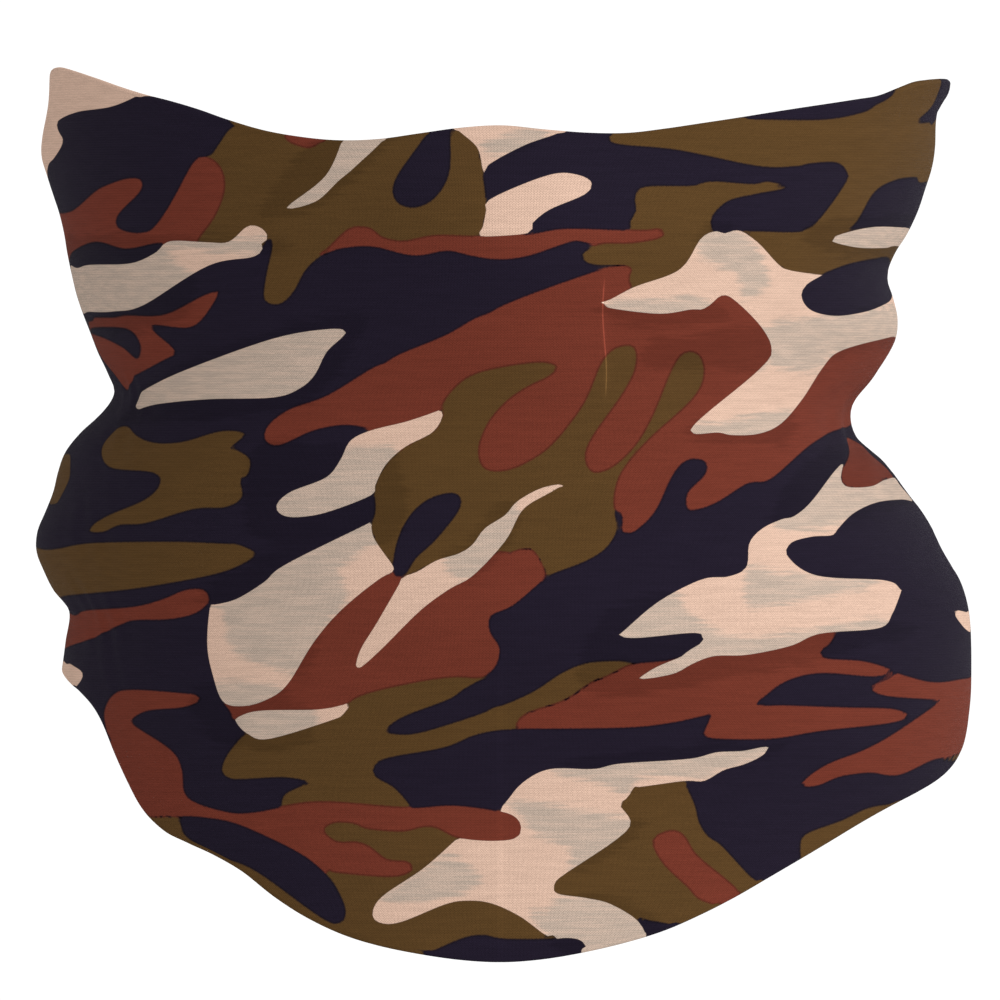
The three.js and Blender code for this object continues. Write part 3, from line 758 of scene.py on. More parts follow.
def signed_distance(places, outline):
    """Distance in mm from each place to a closed curve, negative inside, never more than FARTHEST."""
    curve = closed_curve(outline)
    distance = np.full(len(places), FARTHEST)
    near = ((places > curve.min(axis=0) - FARTHEST) & (places < curve.max(axis=0) + FARTHEST)).all(axis=1)
    chosen = np.flatnonzero(near)
    ends = np.roll(curve, -1, 0)
    shortest = np.full(len(chosen), FARTHEST ** 2)
    inside = np.zeros(len(chosen), dtype=bool)
    x, y = places[chosen].T
    for (x0, y0), (x1, y1) in zip(curve, ends):
        run, rise = x1 - x0, y1 - y0
        part = np.clip(((x - x0) * run + (y - y0) * rise) / (run * run + rise * rise + 1e-12), 0, 1)
        shortest = np.minimum(shortest, (x0 + part * run - x) ** 2 + (y0 + part * rise - y) ** 2)
        if y0 != y1:
            inside ^= ((y0 > y) != (y1 > y)) & (x < run * (y - y0) / (y1 - y0) + x0)
    distance[chosen] = np.sqrt(shortest) * np.where(inside, -1, 1)
    return distance


def ink_fields(places, scale):
    """Signed distance to each ink's area, and to the patches of painted show-through shade, at places on the
    print.
    """
    fields = {ink: np.full(len(places), FARTHEST) for ink in ("navy", "olive", "rust", "cream")}
    fields["navy"][:] = -FARTHEST
    for _, ink, outline in print_shapes:
        shape = signed_distance(places, outline)
        for other, field in fields.items():
            fields[other] = np.minimum(field, shape) if other == ink else np.maximum(field, -shape)
    show_through_shade = np.full(len(places), FARTHEST)
    for outline in show_through_shade_patches:
        show_through_shade = np.minimum(show_through_shade, signed_distance(places, outline))
    fields["show_through_shade"] = show_through_shade
    return {ink: field * scale for ink, field in fields.items()}


front_inks = ink_fields(front[2][:, :2], 1.0)
back_inks = ink_fields(back[2][:, :2], BACK_PRINT_SCALE)
for ink in ("navy", "olive", "rust", "cream"):
    print(ink, "covers", round(100 * float((front_inks[ink] < 0).mean())), "% of the front's points")

# %% [markdown]
# ## Making the panel meshes
# Now the numbers become Blender objects. The sheet itself has no thickness; a Solidify modifier gives it the
# 0.65 mm of a mid-weight jersey, towards the inside, and puts the second material, the unprinted reverse
# of the cloth, on that new inner skin.

# %% Panels
CLOTH_THICKNESS = 0.65
CREASE_LINE_ENDS = (0.5, 25.5)
CREASE_LINE_FADE = 3
NO_CREASE_NEAR = 9.0


def link_mesh(name, points, faces):
    """A smooth-shaded mesh object from points in mm."""
    mesh = bpy.data.meshes.new(name)
    corners = [[int(corner) for corner in face] for face in faces]
    mesh.from_pydata((np.asarray(points) * MM).tolist(), [], corners)
    mesh.polygons.foreach_set("use_smooth", np.ones(len(mesh.polygons), dtype=bool))
    mesh.update()
    piece = bpy.data.objects.new(name, mesh)
    bpy.context.scene.collection.objects.link(piece)
    return piece


def keep_numbers(piece, name, values):
    """Stores one number per vertex for the material to read."""
    piece.data.attributes.new(name, "FLOAT", "POINT").data.foreach_set("value", values.astype(np.float32))


def make_panel(name, panel, inks, folds, creases):
    """The panel's object with its thickness and the numbers of its print and its creases."""
    points, faces, addresses, _ = panel
    piece = link_mesh(name, points, faces)
    for ink, field in inks.items():
        keep_numbers(piece, ink, field)
    keep_numbers(piece, "fold_mark", folds)
    keep_numbers(piece, "from_crease", creases[0])
    keep_numbers(piece, "crease_share", creases[1])
    keep_numbers(piece, "knit_across", addresses[:, 2])
    keep_numbers(piece, "knit_up", addresses[:, 3])
    thickness = piece.modifiers.new("cloth thickness", "SOLIDIFY")
    thickness.thickness = CLOTH_THICKNESS * MM
    thickness.offset = -1.0
    thickness.use_rim = True
    thickness.material_offset = 1
    thickness.material_offset_rim = 1
    return piece


front_marks = front_folds(front[2][:, 0], front[2][:, 1])
cheek_crease = (
    from_cheek_crease(front[2][:, 0], front[2][:, 1]),
    within(front[2][:, 1], *CREASE_LINE_ENDS, CREASE_LINE_FADE),
)
no_marks = np.zeros(len(back[0]))
front_panel = make_panel("front_cloth", front, front_inks, front_marks, cheek_crease)
no_crease = (no_marks + NO_CREASE_NEAR, no_marks)
back_panel = make_panel("back_cloth", back, back_inks, no_marks, no_crease)
for piece in (front_panel, back_panel):
    print(piece.name, "has", len(piece.data.vertices), "vertices")

# %% [markdown]
# ## A small kit for materials
# A node material is a chain of little machines. Two helpers keep the recipes readable: `node` adds one
# machine and plugs values or other machines' outputs into it, and `calc` adds a piece of arithmetic.

# %% Material helpers


def new_material(name):
    """An empty node material and its shader."""
    material = bpy.data.materials.new(name)
    material.use_nodes = True
    shader = material.node_tree.nodes["Principled BSDF"]
    return material, material.node_tree, shader


def node(tree, kind, inputs=(), **settings):
    """Adds a node, sets its properties, and plugs in sockets or plain values."""
    made = tree.nodes.new("ShaderNode" + kind)
    for name, value in settings.items():
        setattr(made, name, value)
    for key, value in dict(inputs).items():
        if isinstance(value, bpy.types.NodeSocket):
            tree.links.new(value, made.inputs[key])
        else:
            made.inputs[key].default_value = value
    return made


def calc(tree, operation, *values):
    """The result of one piece of arithmetic."""
    return node(tree, "Math", dict(enumerate(values)), operation=operation).outputs[0]


def vertex_number(tree, name):
    """The number that keep_numbers stored under that name."""
    return node(tree, "Attribute", attribute_name=name).outputs["Fac"]


def ease(tree, value, low, high, bottom=0.0, top=1.0):
    """Bottom where value is low, top where it is high, and an eased change between."""
    inputs = {"Value": value, "From Min": low, "From Max": high, "To Min": bottom, "To Max": top}
    return node(tree, "MapRange", inputs, interpolation_type="SMOOTHSTEP").outputs["Result"]


def tint(tree, factor, first, second, blend="MIX"):
    """Two colours mixed or multiplied by a factor."""
    made = node(tree, "Mix", data_type="RGBA", blend_type=blend)
    for socket, value in ((made.inputs[0], factor), (made.inputs[6], first), (made.inputs[7], second)):
        if isinstance(value, bpy.types.NodeSocket):
            tree.links.new(value, socket)
        else:
            socket.default_value = value
    return made.outputs[2]


def speckle(tree, place, scale, detail=2.0):
    """Cloudy noise from 0 to 1 at a place."""
    inputs = {"Vector": place, "Scale": scale, "Detail": detail, "Roughness": 0.6}
    return node(tree, "TexNoise", inputs).outputs["Fac"]


print("material helpers ready")

# %% [markdown]
# ## The knit
# Under a lens, jersey is columns of little Vs, the wales, stacked in rows, the courses. Each V has two
# legs that lean together. The recipe below takes the flat-cloth address, counts wales and courses, and
# works out how high the yarn stands at each place: two round legs per wale, each cut by a slanting groove
# per course.

# %% Knit stitches
WALE = 0.56
COURSE = 0.50
LEG_LEAN = 1.3


def cloth_place(tree, across_scale, up_scale):
    """The flat-cloth address as a vector, stretched for streaky noise."""
    across = calc(tree, "MULTIPLY", vertex_number(tree, "knit_across"), across_scale)
    up = calc(tree, "MULTIPLY", vertex_number(tree, "knit_up"), up_scale)
    return node(tree, "CombineXYZ", {"X": across, "Y": up}).outputs[0]


def knit_height(tree, reverse):
    """Height of the yarn from 0 to 1. The reverse of jersey shows rows of bumps instead of Vs."""
    wobble = calc(tree, "MULTIPLY", speckle(tree, cloth_place(tree, 1.0, 1.0), 0.7), 0.35)
    across = calc(tree, "ADD", calc(tree, "DIVIDE", vertex_number(tree, "knit_across"), WALE), wobble)
    up = calc(tree, "ADD", calc(tree, "DIVIDE", vertex_number(tree, "knit_up"), COURSE), wobble)
    from_middle = calc(tree, "ABSOLUTE", calc(tree, "SUBTRACT", calc(tree, "FRACT", across), 0.5))
    off_leg = calc(tree, "ABSOLUTE", calc(tree, "SUBTRACT", from_middle, 0.25))
    leg = calc(tree, "SUBTRACT", 1.0, calc(tree, "POWER", calc(tree, "MULTIPLY", off_leg, 4.0), 2.0))
    lean = -LEG_LEAN if reverse else LEG_LEAN
    phase = calc(tree, "ADD", up, calc(tree, "MULTIPLY", from_middle, lean))
    course = calc(tree, "SINE", calc(tree, "MULTIPLY", phase, ROUND_THE_RUN))
    rows = calc(tree, "MULTIPLY_ADD", course, 0.5, 0.5)
    leg_share, row_share = (0.35, 0.65) if reverse else (0.55, 0.45)
    return calc(tree, "MULTIPLY_ADD", leg, leg_share, calc(tree, "MULTIPLY", rows, row_share))


print("stitches in a square centimetre:", round(100 / (WALE * COURSE)))

# %% [markdown]
# ## Inks on pale cloth
# Screen inks are laid over the cloth one after another. Each is nearly opaque and spreads a little past its
# outline, so where two of them meet there is a thin darker line of both, and where two don't quite meet the
# line between them is nearly black. Pale shapes are bare cloth and have clean edges. The cloth is thin, and
# the dark far side showing through it is painted in as shade: a grey painted show-through shade on the pale
# shapes, and a little on the inks, darkest between the stitches. The print sinks into the yarn, so its edges
# are slightly ragged and its colour is streaky along the courses.

# %% The print as a colour
INK_SPREAD = 0.14
INK_BLUR = 0.24
OVERLAP_SHADE = 0.45
SHOW_THROUGH_SHADE_ON_INK = 0.18
SHOW_THROUGH_RAGGEDNESS = 5.0
SHOW_THROUGH_SOFTNESS = 1.1
INK_RAGGEDNESS = 0.30
PALE_EDGE_RAGGEDNESS = 0.06
WARM_CLOTH = (0.640, 0.436, 0.334, 1.0)
SHOW_THROUGH_SHADE_CLOTH = (0.445, 0.358, 0.292, 1.0)
WHERE_INKS_MISS = (0.022, 0.016, 0.016, 1.0)
INK_COLOURS = {
    "olive": (0.090, 0.0465, 0.0150, 1.0),
    "rust": (0.150, 0.0320, 0.0190, 1.0),
    "navy": (0.0140, 0.0102, 0.0205, 1.0),
}


def grey_tone(tree, value):
    """A grey colour from one number."""
    return node(tree, "CombineColor", {"Red": value, "Green": value, "Blue": value}).outputs[0]


def printed_colour(tree, height):
    """The colour of the printed face, with painted show-through shade. Height is the knit's, because that
    painted shade is darker between the stitches.
    """
    streak = speckle(tree, cloth_place(tree, 0.10, 1.1), 1.0, 3.0)
    ragged = calc(tree, "SUBTRACT", speckle(tree, cloth_place(tree, 1.0, 1.0), 2.2), 0.5)
    from_average = calc(tree, "SUBTRACT", streak, 0.5)
    # painted show-through shade: grey inside the patches, streaky, and darker between the stitches
    show_through_edge = calc(tree, "MULTIPLY_ADD", from_average, SHOW_THROUGH_RAGGEDNESS, vertex_number(tree, "show_through_shade"))
    show_through_shade = ease(tree, show_through_edge, SHOW_THROUGH_SOFTNESS, -SHOW_THROUGH_SOFTNESS)
    gaps = ease(tree, height, 0.25, 0.85, 1.12, 0.72)
    streaky_shade_strength = calc(tree, "MULTIPLY", gaps, ease(tree, streak, 0.35, 0.65, 1.1, 0.78))
    colour = tint(tree, calc(tree, "MULTIPLY", show_through_shade, streaky_shade_strength), WARM_CLOTH, SHOW_THROUGH_SHADE_CLOTH)
    pale_edge = calc(tree, "MULTIPLY_ADD", ragged, PALE_EDGE_RAGGEDNESS, vertex_number(tree, "cream"))
    inked = ease(tree, pale_edge, -0.08, 0.10)
    colour = tint(tree, inked, colour, WHERE_INKS_MISS)
    cover = {}
    for ink, shade in INK_COLOURS.items():
        edge = calc(tree, "MULTIPLY_ADD", ragged, INK_RAGGEDNESS, vertex_number(tree, ink))
        spread = ease(tree, edge, INK_SPREAD + INK_BLUR, INK_SPREAD - INK_BLUR)
        cover[ink] = calc(tree, "MULTIPLY", spread, inked)
        colour = tint(tree, cover[ink], colour, shade)
    overlap = calc(tree, "MULTIPLY", cover["olive"], cover["rust"])
    with_navy = calc(tree, "MULTIPLY", cover["navy"], calc(tree, "ADD", cover["olive"], cover["rust"]))
    dark = calc(tree, "MULTIPLY", calc(tree, "ADD", overlap, with_navy), OVERLAP_SHADE)
    # the overlap lines are print; painted show-through shade adds a slight darkening on the inks
    dark = calc(tree, "MULTIPLY_ADD", calc(tree, "MULTIPLY", show_through_shade, inked), SHOW_THROUGH_SHADE_ON_INK, dark)
    light_streak = ease(tree, streak, 0.25, 0.75, 0.93, 1.06)
    fine = ease(tree, speckle(tree, cloth_place(tree, 0.8, 2.4), 1.6), 0.2, 0.8, 0.93, 1.06)
    grain = calc(tree, "MULTIPLY", light_streak, fine)
    grain = calc(tree, "MULTIPLY", grain, calc(tree, "SUBTRACT", 1.0, dark))
    return tint(tree, 1.0, colour, grey_tone(tree, grain), "MULTIPLY")


print("inks:", ", ".join(INK_COLOURS))

# %% [markdown]
# The printed face and the reverse share that colour, in different strength: on the reverse only a ghost of
# the print comes through. Both are matt, with a trace of sheen from fibre ends. The colour carries painted
# shade in the stitch grooves, and a bump raises the stitches. The fold marks, and most of all the cheek
# crease, get a painted highlight along their lines.

# %% Materials for the two faces
STITCH_DEPTH = 0.06
STITCH_SHADE = (0.66, 1.16)
REVERSE_FADE = 0.66
PALE_REVERSE = (0.66, 0.57, 0.50, 1.0)
FOLD_PAINTED_HIGHLIGHT = 0.12
CREASE_PAINTED_HIGHLIGHT = 0.9


def knit_material(name, reverse):
    """The printed face of the jersey, or its reverse."""
    material, tree, shader = new_material(name)
    height = knit_height(tree, reverse)
    colour = printed_colour(tree, height)
    if reverse:
        colour = tint(tree, REVERSE_FADE, colour, PALE_REVERSE)
    # painted shade: the colour darkens in the stitch grooves
    shade = ease(tree, height, 0.15, 0.85, *STITCH_SHADE)
    # painted highlight: the colour lightens along the fold marks
    groove_shade_and_fold_highlight = calc(tree, "MULTIPLY_ADD", vertex_number(tree, "fold_mark"), FOLD_PAINTED_HIGHLIGHT, shade)
    if not reverse:
        # painted highlight: a pale line along the cheek crease
        crease = ease(tree, calc(tree, "ABSOLUTE", vertex_number(tree, "from_crease")), 0.22, 0.04)
        crease = calc(tree, "MULTIPLY", crease, vertex_number(tree, "crease_share"))
        groove_shade_and_fold_highlight = calc(tree, "MULTIPLY_ADD", crease, CREASE_PAINTED_HIGHLIGHT, groove_shade_and_fold_highlight)
    colour = tint(tree, 1.0, colour, grey_tone(tree, groove_shade_and_fold_highlight), "MULTIPLY")
    fuzz = speckle(tree, cloth_place(tree, 1.0, 1.0), 5.0)
    bumpy = calc(tree, "MULTIPLY_ADD", fuzz, 0.35, height)
    bump = node(tree, "Bump", {"Height": bumpy, "Distance": STITCH_DEPTH * MM, "Strength": 0.8})
    rough = ease(tree, fuzz, 0.2, 0.8, 0.78, 0.94)
    tree.links.new(colour, shader.inputs["Base Color"])
    tree.links.new(rough, shader.inputs["Roughness"])
    tree.links.new(bump.outputs[0], shader.inputs["Normal"])
    shader.inputs["Specular IOR Level"].default_value = 0.02
    shader.inputs["Sheen Weight"].default_value = 0.01
    shader.inputs["Sheen Roughness"].default_value = 0.5
    return material


printed_face = knit_material("printed jersey", False)
cloth_reverse = knit_material("jersey reverse", True)
for piece in (front_panel, back_panel):
    piece.data.materials.append(printed_face)
    piece.data.materials.append(cloth_reverse)
print("jersey materials made")

# %% [markdown]
# ## Thread
# Sewing thread is two or three fine strands twisted together. A thread in a seam is a path through the cloth,
# so it is drawn as a line of points and a round tube swept along it. The twist is a slanting stripe of
# painted shade and painted highlight in the material, which follows the tube because every vertex knows how
# far along the thread it lies.

# %% A tube along a path
THREAD_SIDES = 6
TWIST_LENGTH = 0.55


def thread_tube(name, path, radius):
    """A closed round tube of radius mm along a path of points in mm."""
    path = np.array(path, dtype=float)
    forward = unit(np.gradient(path, axis=0))
    start = np.array((0.0, 0.0, 1.0)) if abs(forward[0][2]) < 0.9 else np.array((1.0, 0.0, 0.0))
    across = []
    for heading in forward:
        start = unit(start - (start @ heading) * heading)
        across.append(start)
    across = np.array(across)
    beside = np.cross(forward, across)
    turns = np.linspace(0, ROUND_THE_RUN, THREAD_SIDES, endpoint=False)
    rings = [path + radius * (across * math.cos(turn) + beside * math.sin(turn)) for turn in turns]
    points = np.stack(rings, axis=1).reshape(-1, 3)
    index = np.arange(len(points)).reshape(len(path), THREAD_SIDES)
    faces = quads(np.concatenate([index, index[:, :1]], axis=1), False).tolist()
    faces += [index[0].tolist(), index[-1][::-1].tolist()]
    tube = link_mesh(name, points, faces)
    keep_numbers(tube, "run", np.repeat(travelled(path), THREAD_SIDES))
    keep_numbers(tube, "turn", np.tile(turns / ROUND_THE_RUN, len(path)))
    return tube


def thread_material(name, colour):
    """Twisted polyester thread."""
    material, tree, shader = new_material(name)
    turn = calc(tree, "MULTIPLY", vertex_number(tree, "turn"), ROUND_THE_RUN)
    run = calc(tree, "MULTIPLY", vertex_number(tree, "run"), ROUND_THE_RUN / TWIST_LENGTH)
    twist = calc(tree, "MULTIPLY_ADD", calc(tree, "SINE", calc(tree, "ADD", run, turn)), 0.5, 0.5)
    # painted shade and highlight: the colour darkens and lightens along the twist
    shade = ease(tree, twist, 0.0, 1.0, 0.55, 1.15)
    twist_shade_and_highlight = grey_tone(tree, shade)
    bump = node(tree, "Bump", {"Height": twist, "Distance": 0.05 * MM, "Strength": 0.7})
    tree.links.new(tint(tree, 1.0, colour, twist_shade_and_highlight, "MULTIPLY"), shader.inputs["Base Color"])
    tree.links.new(bump.outputs[0], shader.inputs["Normal"])
    shader.inputs["Roughness"].default_value = 0.5
    shader.inputs["Sheen Weight"].default_value = 0.2
    return material


dark_thread = thread_material("navy sewing thread", (0.020, 0.019, 0.034, 1.0))
pale_thread = thread_material("white label thread", (0.70, 0.68, 0.64, 1.0))
print("thread materials made")

# %% [markdown]
# ## Side seams
# An overlocker joins the panels and binds their raw edges in one pass. Its needle thread runs in short
# stitches through both allowances; its run on the front side is drawn. Its looper threads zigzag from the
# needle holes over the cut edge and back on the other side. Both are built from the seam line of the
# front panel: a place along it, a distance inwards from it, and a distance towards the back.

# %% Seam threads
STITCH = 2.4
NEEDLE_LINE = 4.1
EDGE_LINE = 7.3
ALLOWANCE_FACE = 0.98
NEEDLE_THREAD = 0.16
LOOPER_THREAD = 0.2
LOOPER_LIFT = 0.30
NEEDLE_STITCH = ((0.0, -0.25), (0.15, 0.16), (0.5, 0.24), (0.85, 0.16))
LOOPER_STITCH = (
    (0.0, NEEDLE_LINE, -ALLOWANCE_FACE - LOOPER_LIFT),
    (0.30, EDGE_LINE - 0.5, -1.15),
    (0.45, EDGE_LINE, 0.0),
    (0.6, EDGE_LINE - 0.5, 1.15),
    (0.95, NEEDLE_LINE, ALLOWANCE_FACE + LOOPER_LIFT),
    (1.5, EDGE_LINE - 0.6, 1.2),
    (1.7, EDGE_LINE + 0.1, 0.0),
    (1.85, EDGE_LINE - 0.6, -1.2),
)


def seam_path(side, stations):
    """Points at (place along, distance in, distance to the back) from the seam line, all in mm."""
    line, outward = front[3]["seams"][side]
    length = travelled(line)
    points = []
    for place, inward, back_side in stations:
        at = np.array([np.interp(place, length, line[:, axis]) for axis in range(3)])
        out = np.array([np.interp(place, length, outward[:, axis]) for axis in range(3)])
        at[1] = 0.0
        points.append(at - inward * out + np.array((0.0, back_side, 0.0)))
    return points


def seam_stations(side):
    """Places of the stitches along a seam, in mm."""
    length = travelled(front[3]["seams"][side][0])[-1]
    return np.arange(TRIM_LENGTH, length - TRIM_LENGTH - STITCH, STITCH)


for side in ("left", "right"):
    needle = []
    looper = []
    for place in seam_stations(side):
        for part, height in NEEDLE_STITCH:
            needle.append((place + part * STITCH, NEEDLE_LINE, -ALLOWANCE_FACE - height))
        for step, inward, back_side in LOOPER_STITCH:
            looper.append((place + step, inward, back_side))
    for kind, stations, radius in (("needle", needle, NEEDLE_THREAD), ("looper", looper, LOOPER_THREAD)):
        node_name = f"{side}_seam_{kind}_thread"
        thread = thread_tube(f"{side}_{kind}_stitches", seam_path(side, stations), radius)
        thread.data.materials.append(dark_thread)
        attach(thread, "mask")
        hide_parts(node_name)
        print(thread.name, "has", len(stations), "points")

# %% [markdown]
# ## Hem stitching
# The hems show no stitch outside, so they are blind-stitched: the thread lies along the edge of the
# turned-in hem, and every few millimetres it hops off the hem and catches a few yarns of the wall. The
# points are found on the panel's own grid: how far round, how far from the edge, and how deep inside.
# The hem is counted in rows of the grid, so it is deeper on the back, where the rows are further apart;
# there the thread goes through the hem to reach the wall.

# %% Hem threads
HOP = 4.2
HEM_LINE = 6.3
CATCH_LINE = 8.9
ON_HEM = 1.4 + 0.65 + 0.12
ON_WALL = 0.65 + 0.05
SEAM_CLEAR = 8.5
HEM_THREAD = 0.15
ROW_MEASURED_ROUND = 7
BLIND_STITCH = (
    (0.0, HEM_LINE, ON_HEM),
    (0.35, HEM_LINE, ON_HEM + 0.05),
    (0.55, HEM_LINE + 1.4, ON_HEM),
    (0.7, CATCH_LINE, ON_WALL),
    (0.85, HEM_LINE + 1.4, ON_HEM),
)


def hem_path(panel, low):
    """The blind stitch along one hem of one panel, in mm."""
    sheet = panel[3]
    line = sheet["grid"] if low else sheet["grid"][:, ::-1]
    outward = sheet["outward"] if low else sheet["outward"][:, ::-1]
    length_up = travelled(line.transpose(1, 0, 2)).T
    round_length = travelled(line[:, ROW_MEASURED_ROUND])

    def point(place, from_edge, depth):
        column = int(np.clip(np.searchsorted(round_length, place), 1, len(line) - 1))
        part = (place - round_length[column - 1]) / (round_length[column] - round_length[column - 1])
        found = []
        for one in (column - 1, column):
            places = [np.interp(from_edge, length_up[one], line[one][:, axis]) for axis in range(3)]
            out = [np.interp(from_edge, length_up[one], outward[one][:, axis]) for axis in range(3)]
            found.append(np.array(places) - depth * np.array(out))
        return found[0] * (1 - part) + found[1] * part

    points = []
    for place in np.arange(SEAM_CLEAR, round_length[-1] - SEAM_CLEAR - HOP, HOP):
        points += [point(place + part * HOP, from_edge, depth) for part, from_edge, depth in BLIND_STITCH]
    return points


for panel_name, panel in (("front", front), ("back", back)):
    for edge_name, low in (("bottom", True), ("top", False)):
        thread = thread_tube(f"{panel_name}_{edge_name}_hem_stitches", hem_path(panel, low), HEM_THREAD)
        thread.data.materials.append(dark_thread)
        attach(thread, "mask")
        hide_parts(f"{panel_name}_{edge_name}_hem_thread")
        print(thread.name, "has", len(thread.data.vertices), "vertices")

# %% [markdown]
# ## Care label
# The label is a blank strip of satin tape, folded in half, with both cut ends sewn down at the nape. It hangs
# from that stitching and flaps. The strip is drawn in side view as a long narrow loop: down one leaf,
# round the fold, and up the other, with a slight bow in each leaf so that the two don't lie dead flat.

# %% Label tape
LEAF_GAP = 0.30
TAPE_THICKNESS = 0.12
TAPE_BOW = 0.05
LABEL_COLUMNS = 28
LEAF_ROWS = 36

label_low, label_high = [np.array(corner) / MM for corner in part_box("care_label")]
label_width = label_high[0] - label_low[0]
label_drop = label_high[2] - label_low[2]
label_face = (label_low[1] + label_high[1]) / 2


def leaf_depth(fall):
    """Half the gap between the leaves: pinched at the stitching, where fall is 0, and bowed lower down."""
    return LEAF_GAP / 2 * min(1, 0.4 + 3 * fall) + TAPE_BOW * math.sin(math.pi * fall)


def label_profile():
    """Side view of the folded tape: (depth, height) pairs in mm, front leaf first."""
    leaf = [(leaf_depth(fall), fall) for fall in np.linspace(0, 1, LEAF_ROWS)]
    fold_height = label_low[2] + LEAF_GAP / 2 + TAPE_THICKNESS
    top = label_high[2]
    front_leaf = [(-depth, top + fall * (fold_height - top)) for depth, fall in leaf]
    turns = np.linspace(0, math.pi, 7)[1:-1]
    bend = [(-LEAF_GAP / 2 * math.cos(turn), fold_height - LEAF_GAP / 2 * math.sin(turn)) for turn in turns]
    back_leaf = [(-depth, height) for depth, height in reversed(front_leaf)]
    return front_leaf + bend + back_leaf


profile = np.array(label_profile())
places_across = np.linspace(-label_width / 2, label_width / 2, LABEL_COLUMNS + 1)
across_grid, row_grid = np.meshgrid(places_across, np.arange(len(profile)), indexing="ij")
side_bow = TAPE_BOW * np.cos(across_grid / label_width * math.pi)
depth_grid = label_face + profile[row_grid, 0] + side_bow
label_grid = np.stack([across_grid, depth_grid, profile[row_grid, 1]], axis=-1)
label_index = np.arange(across_grid.size).reshape(across_grid.shape)
label = link_mesh("satin_label", label_grid.reshape(-1, 3), quads(label_index, True))
label_run = travelled(label_grid.transpose(1, 0, 2)).T
keep_numbers(label, "knit_across", across_grid.reshape(-1))
keep_numbers(label, "knit_up", label_run.reshape(-1))
tape = label.modifiers.new("tape thickness", "SOLIDIFY")
tape.thickness = TAPE_THICKNESS * MM
tape.offset = 0.0
print("label tape, flat length in mm:", round(float(label_run[0, -1]), 1))

# %% [markdown]
# Satin shines because its warp yarns float over several wefts before they dive under one. The dives are
# spread diagonally so that no line shows. The recipe draws fine lengthwise yarns and a faint diagonal scatter
# of dives, with a low roughness and a soft sheen. The colour carries a little painted shade between the yarns
# and in the dives, over a cloudy tone that differs at random.

# %% Satin
SATIN_YARN = 0.16
SATIN_DIVE_SPACING = 0.2
SATIN_WHITE = (0.80, 0.79, 0.76, 1.0)


def satin_material():
    """White woven satin tape."""
    material, tree, shader = new_material("white satin tape")
    across = calc(tree, "DIVIDE", vertex_number(tree, "knit_across"), SATIN_YARN)
    up = calc(tree, "DIVIDE", vertex_number(tree, "knit_up"), SATIN_DIVE_SPACING)
    round_yarn = calc(tree, "SINE", calc(tree, "MULTIPLY", across, ROUND_THE_RUN))
    yarn = calc(tree, "MULTIPLY_ADD", round_yarn, 0.5, 0.5)
    slant = calc(tree, "FRACT", calc(tree, "MULTIPLY_ADD", calc(tree, "FLOOR", across), 0.4, up))
    dive = ease(tree, slant, 0.82, 0.95)
    height = calc(tree, "SUBTRACT", yarn, calc(tree, "MULTIPLY", dive, 0.6))
    cloudy = speckle(tree, cloth_place(tree, 0.3, 0.05), 1.0)
    # a little painted shade between the yarns and in the dives, over a cloudy tone that differs at random
    shade = calc(tree, "MULTIPLY_ADD", height, 0.07, ease(tree, cloudy, 0.2, 0.8, 0.88, 0.97))
    bump = node(tree, "Bump", {"Height": height, "Distance": 0.02 * MM, "Strength": 0.6})
    colour = tint(tree, 1.0, SATIN_WHITE, grey_tone(tree, shade), "MULTIPLY")
    tree.links.new(colour, shader.inputs["Base Color"])
    tree.links.new(ease(tree, yarn, 0.0, 1.0, 0.42, 0.30), shader.inputs["Roughness"])
    tree.links.new(bump.outputs[0], shader.inputs["Normal"])
    shader.inputs["Sheen Weight"].default_value = 0.25
    return material


label.data.materials.append(satin_material())
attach(label, "label")
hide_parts("care_label")
print("label rides on the label body")

# %% [markdown]
# The label is held by a whipped row of stitches. The thread goes round and round the label's top edge, so
# its path is a stretched helix, and the label can swing on it as on a hinge.

# %% Label stitches
WHIP_PITCH = 2.0
WHIP_TURN_POINTS = 10
WHIP_THREAD = 0.14
CORE_THREAD = 0.2
WHIP_END_GAP = 0.5
CORE_END_GAP = 0.4

rod_low, rod_high = [np.array(corner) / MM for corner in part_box("care_label_thread")]
rod_middle = (rod_low + rod_high) / 2
whip_radius = (rod_high[2] - rod_low[2]) / 2 - WHIP_THREAD
whip_turns = int((rod_high[0] - rod_low[0] - 2 * WHIP_END_GAP) / WHIP_PITCH)
whip = []
for step in range(whip_turns * WHIP_TURN_POINTS + 1):
    turn = ROUND_THE_RUN * step / WHIP_TURN_POINTS
    x = rod_low[0] + WHIP_END_GAP + WHIP_PITCH * step / WHIP_TURN_POINTS
    y = rod_middle[1] + whip_radius * math.cos(turn)
    z = rod_middle[2] + whip_radius * math.sin(turn)
    whip.append((x, y, z))
label_stitches = thread_tube("label_stitches", whip, WHIP_THREAD)
core_places = np.linspace(rod_low[0] + CORE_END_GAP, rod_high[0] - CORE_END_GAP, 30)
core = [(x, rod_middle[1], rod_middle[2]) for x in core_places]
label_core = thread_tube("label_core_thread", core, CORE_THREAD)
for piece in (label_stitches, label_core):
    piece.data.materials.append(pale_thread)
    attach(piece, "mask")
    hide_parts("care_label_thread")
print("label stitches:", whip_turns)

# %% [markdown]
# ## The panels go onto the mask
# The panels are sheets: each was cut flat, with its hems and allowances, and is now stretched into shape.
# The flat sizes and areas are estimates for the cut pieces of such a tube; the sizes are printed and the
# areas are not used. The built cloth reaches further round than its estimated cut, as a tube does that is
# stretched over a head. Each panel is put on the mask's body in place of its frame part.

# %% Panels ride on the mask
FRONT_CUT = (0.272, 0.212)
FRONT_CUT_AREA = 0.0516
BACK_CUT = (0.266, 0.150)
BACK_CUT_AREA = 0.0374

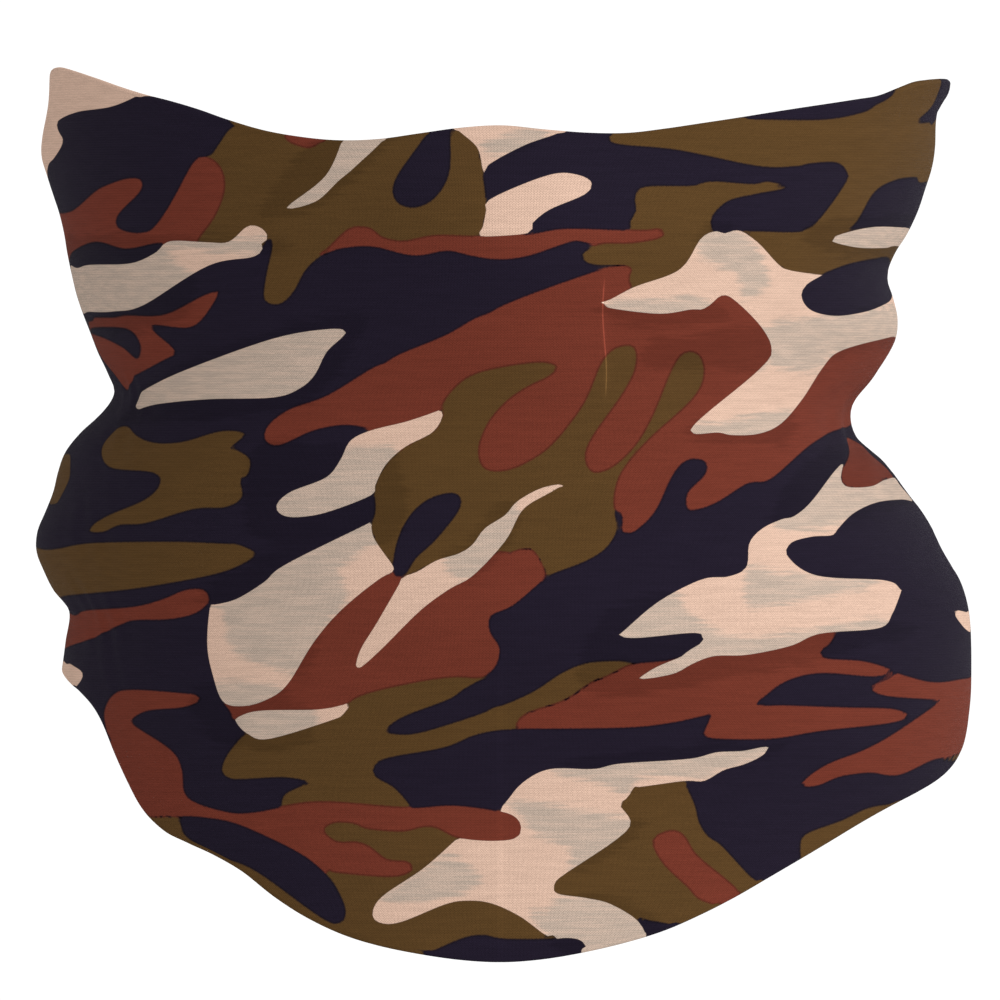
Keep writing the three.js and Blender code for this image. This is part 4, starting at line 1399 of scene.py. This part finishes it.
for piece, node_name, cut, area in (
    (front_panel, "front_panel", FRONT_CUT, FRONT_CUT_AREA),
    (back_panel, "back_panel", BACK_CUT, BACK_CUT_AREA),
):
    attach(piece, "mask")
    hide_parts(node_name)
    print(piece.name, "was cut", cut)

# %% [markdown]
# ## Studio
# A pale floor lies well below the mask, and the straight-on view passes above it, so that the background
# there is the plain bright surround. The surround is stronger on the right than on the left, and a little
# stronger from below. Two square lamps stand in front: the key lamp on the right, at the height of the
# face, and a wider and much weaker fill lamp on the left, a little higher.

# %% Floor, surround and lamps
FLOOR_HEIGHT = cad_low[2] - 0.14
FLOOR_SIZE = 6.0
BRIGHT_SIDE = (1.0, 0.0, -0.3)
SURROUND_LEFT = 0.47
SURROUND_RIGHT = 1.72
KEY_PLACE = (0.9, -1.2, 0.05)
KEY_POWER = 4.8
KEY_SIZE = 0.55
FILL_PLACE = (-0.9, -0.9, 0.3)
FILL_POWER = 0.8
FILL_SIZE = 0.9


def studio_floor():
    """A pale matt floor."""
    edge = FLOOR_SIZE / 2 / MM
    height = FLOOR_HEIGHT / MM
    points = [(-edge, -edge, height), (edge, -edge, height), (edge, edge, height), (-edge, edge, height)]
    floor = link_mesh("studio_floor", points, [(0, 1, 2, 3)])
    material, _, shader = new_material("pale floor")
    shader.inputs["Base Color"].default_value = (0.82, 0.82, 0.82, 1.0)
    shader.inputs["Roughness"].default_value = 0.9
    floor.data.materials.append(material)
    floor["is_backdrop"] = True


def soft_lamp(name, place, power, size):
    """A square lamp of size metres that faces the mask."""
    data = bpy.data.lights.new(name, "AREA")
    data.energy = power
    data.size = size
    lamp = bpy.data.objects.new(name, data)
    lamp.location = place
    lamp.rotation_euler = (VIEW_CENTRE - Vector(place)).to_track_quat("-Z", "Y").to_euler()
    bpy.context.scene.collection.objects.link(lamp)


studio_floor()
soft_lamp("key lamp", KEY_PLACE, KEY_POWER, KEY_SIZE)
soft_lamp("fill lamp", FILL_PLACE, FILL_POWER, FILL_SIZE)
world = bpy.data.worlds.new("surround")
world.use_nodes = True
tree = world.node_tree
surround = tree.nodes["Background"]
outward_ray = node(tree, "TexCoord").outputs["Generated"]
towards = node(tree, "VectorMath", {0: outward_ray, 1: BRIGHT_SIDE}, operation="DOT_PRODUCT")
span = {"Value": towards.outputs["Value"], "From Min": -1.0, "From Max": 1.0}
span.update({"To Min": SURROUND_LEFT, "To Max": SURROUND_RIGHT})
strength = node(tree, "MapRange", span).outputs["Result"]
tree.links.new(strength, surround.inputs["Strength"])
surround.inputs["Color"].default_value = (1.0, 1.0, 1.0, 1.0)
bpy.context.scene.world = world
bpy.context.scene.view_settings.view_transform = "Standard"
print("floor at", round(FLOOR_HEIGHT / MM), "mm")

# %% [markdown]
# ## The size at the end
# The cloth has to stay in the space that the frame gave it. The box of everything shown is printed.

# %% Size and finish
low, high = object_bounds()
print("visual box in mm:", [round(side / MM, 1) for side in Vector(high) - Vector(low)])
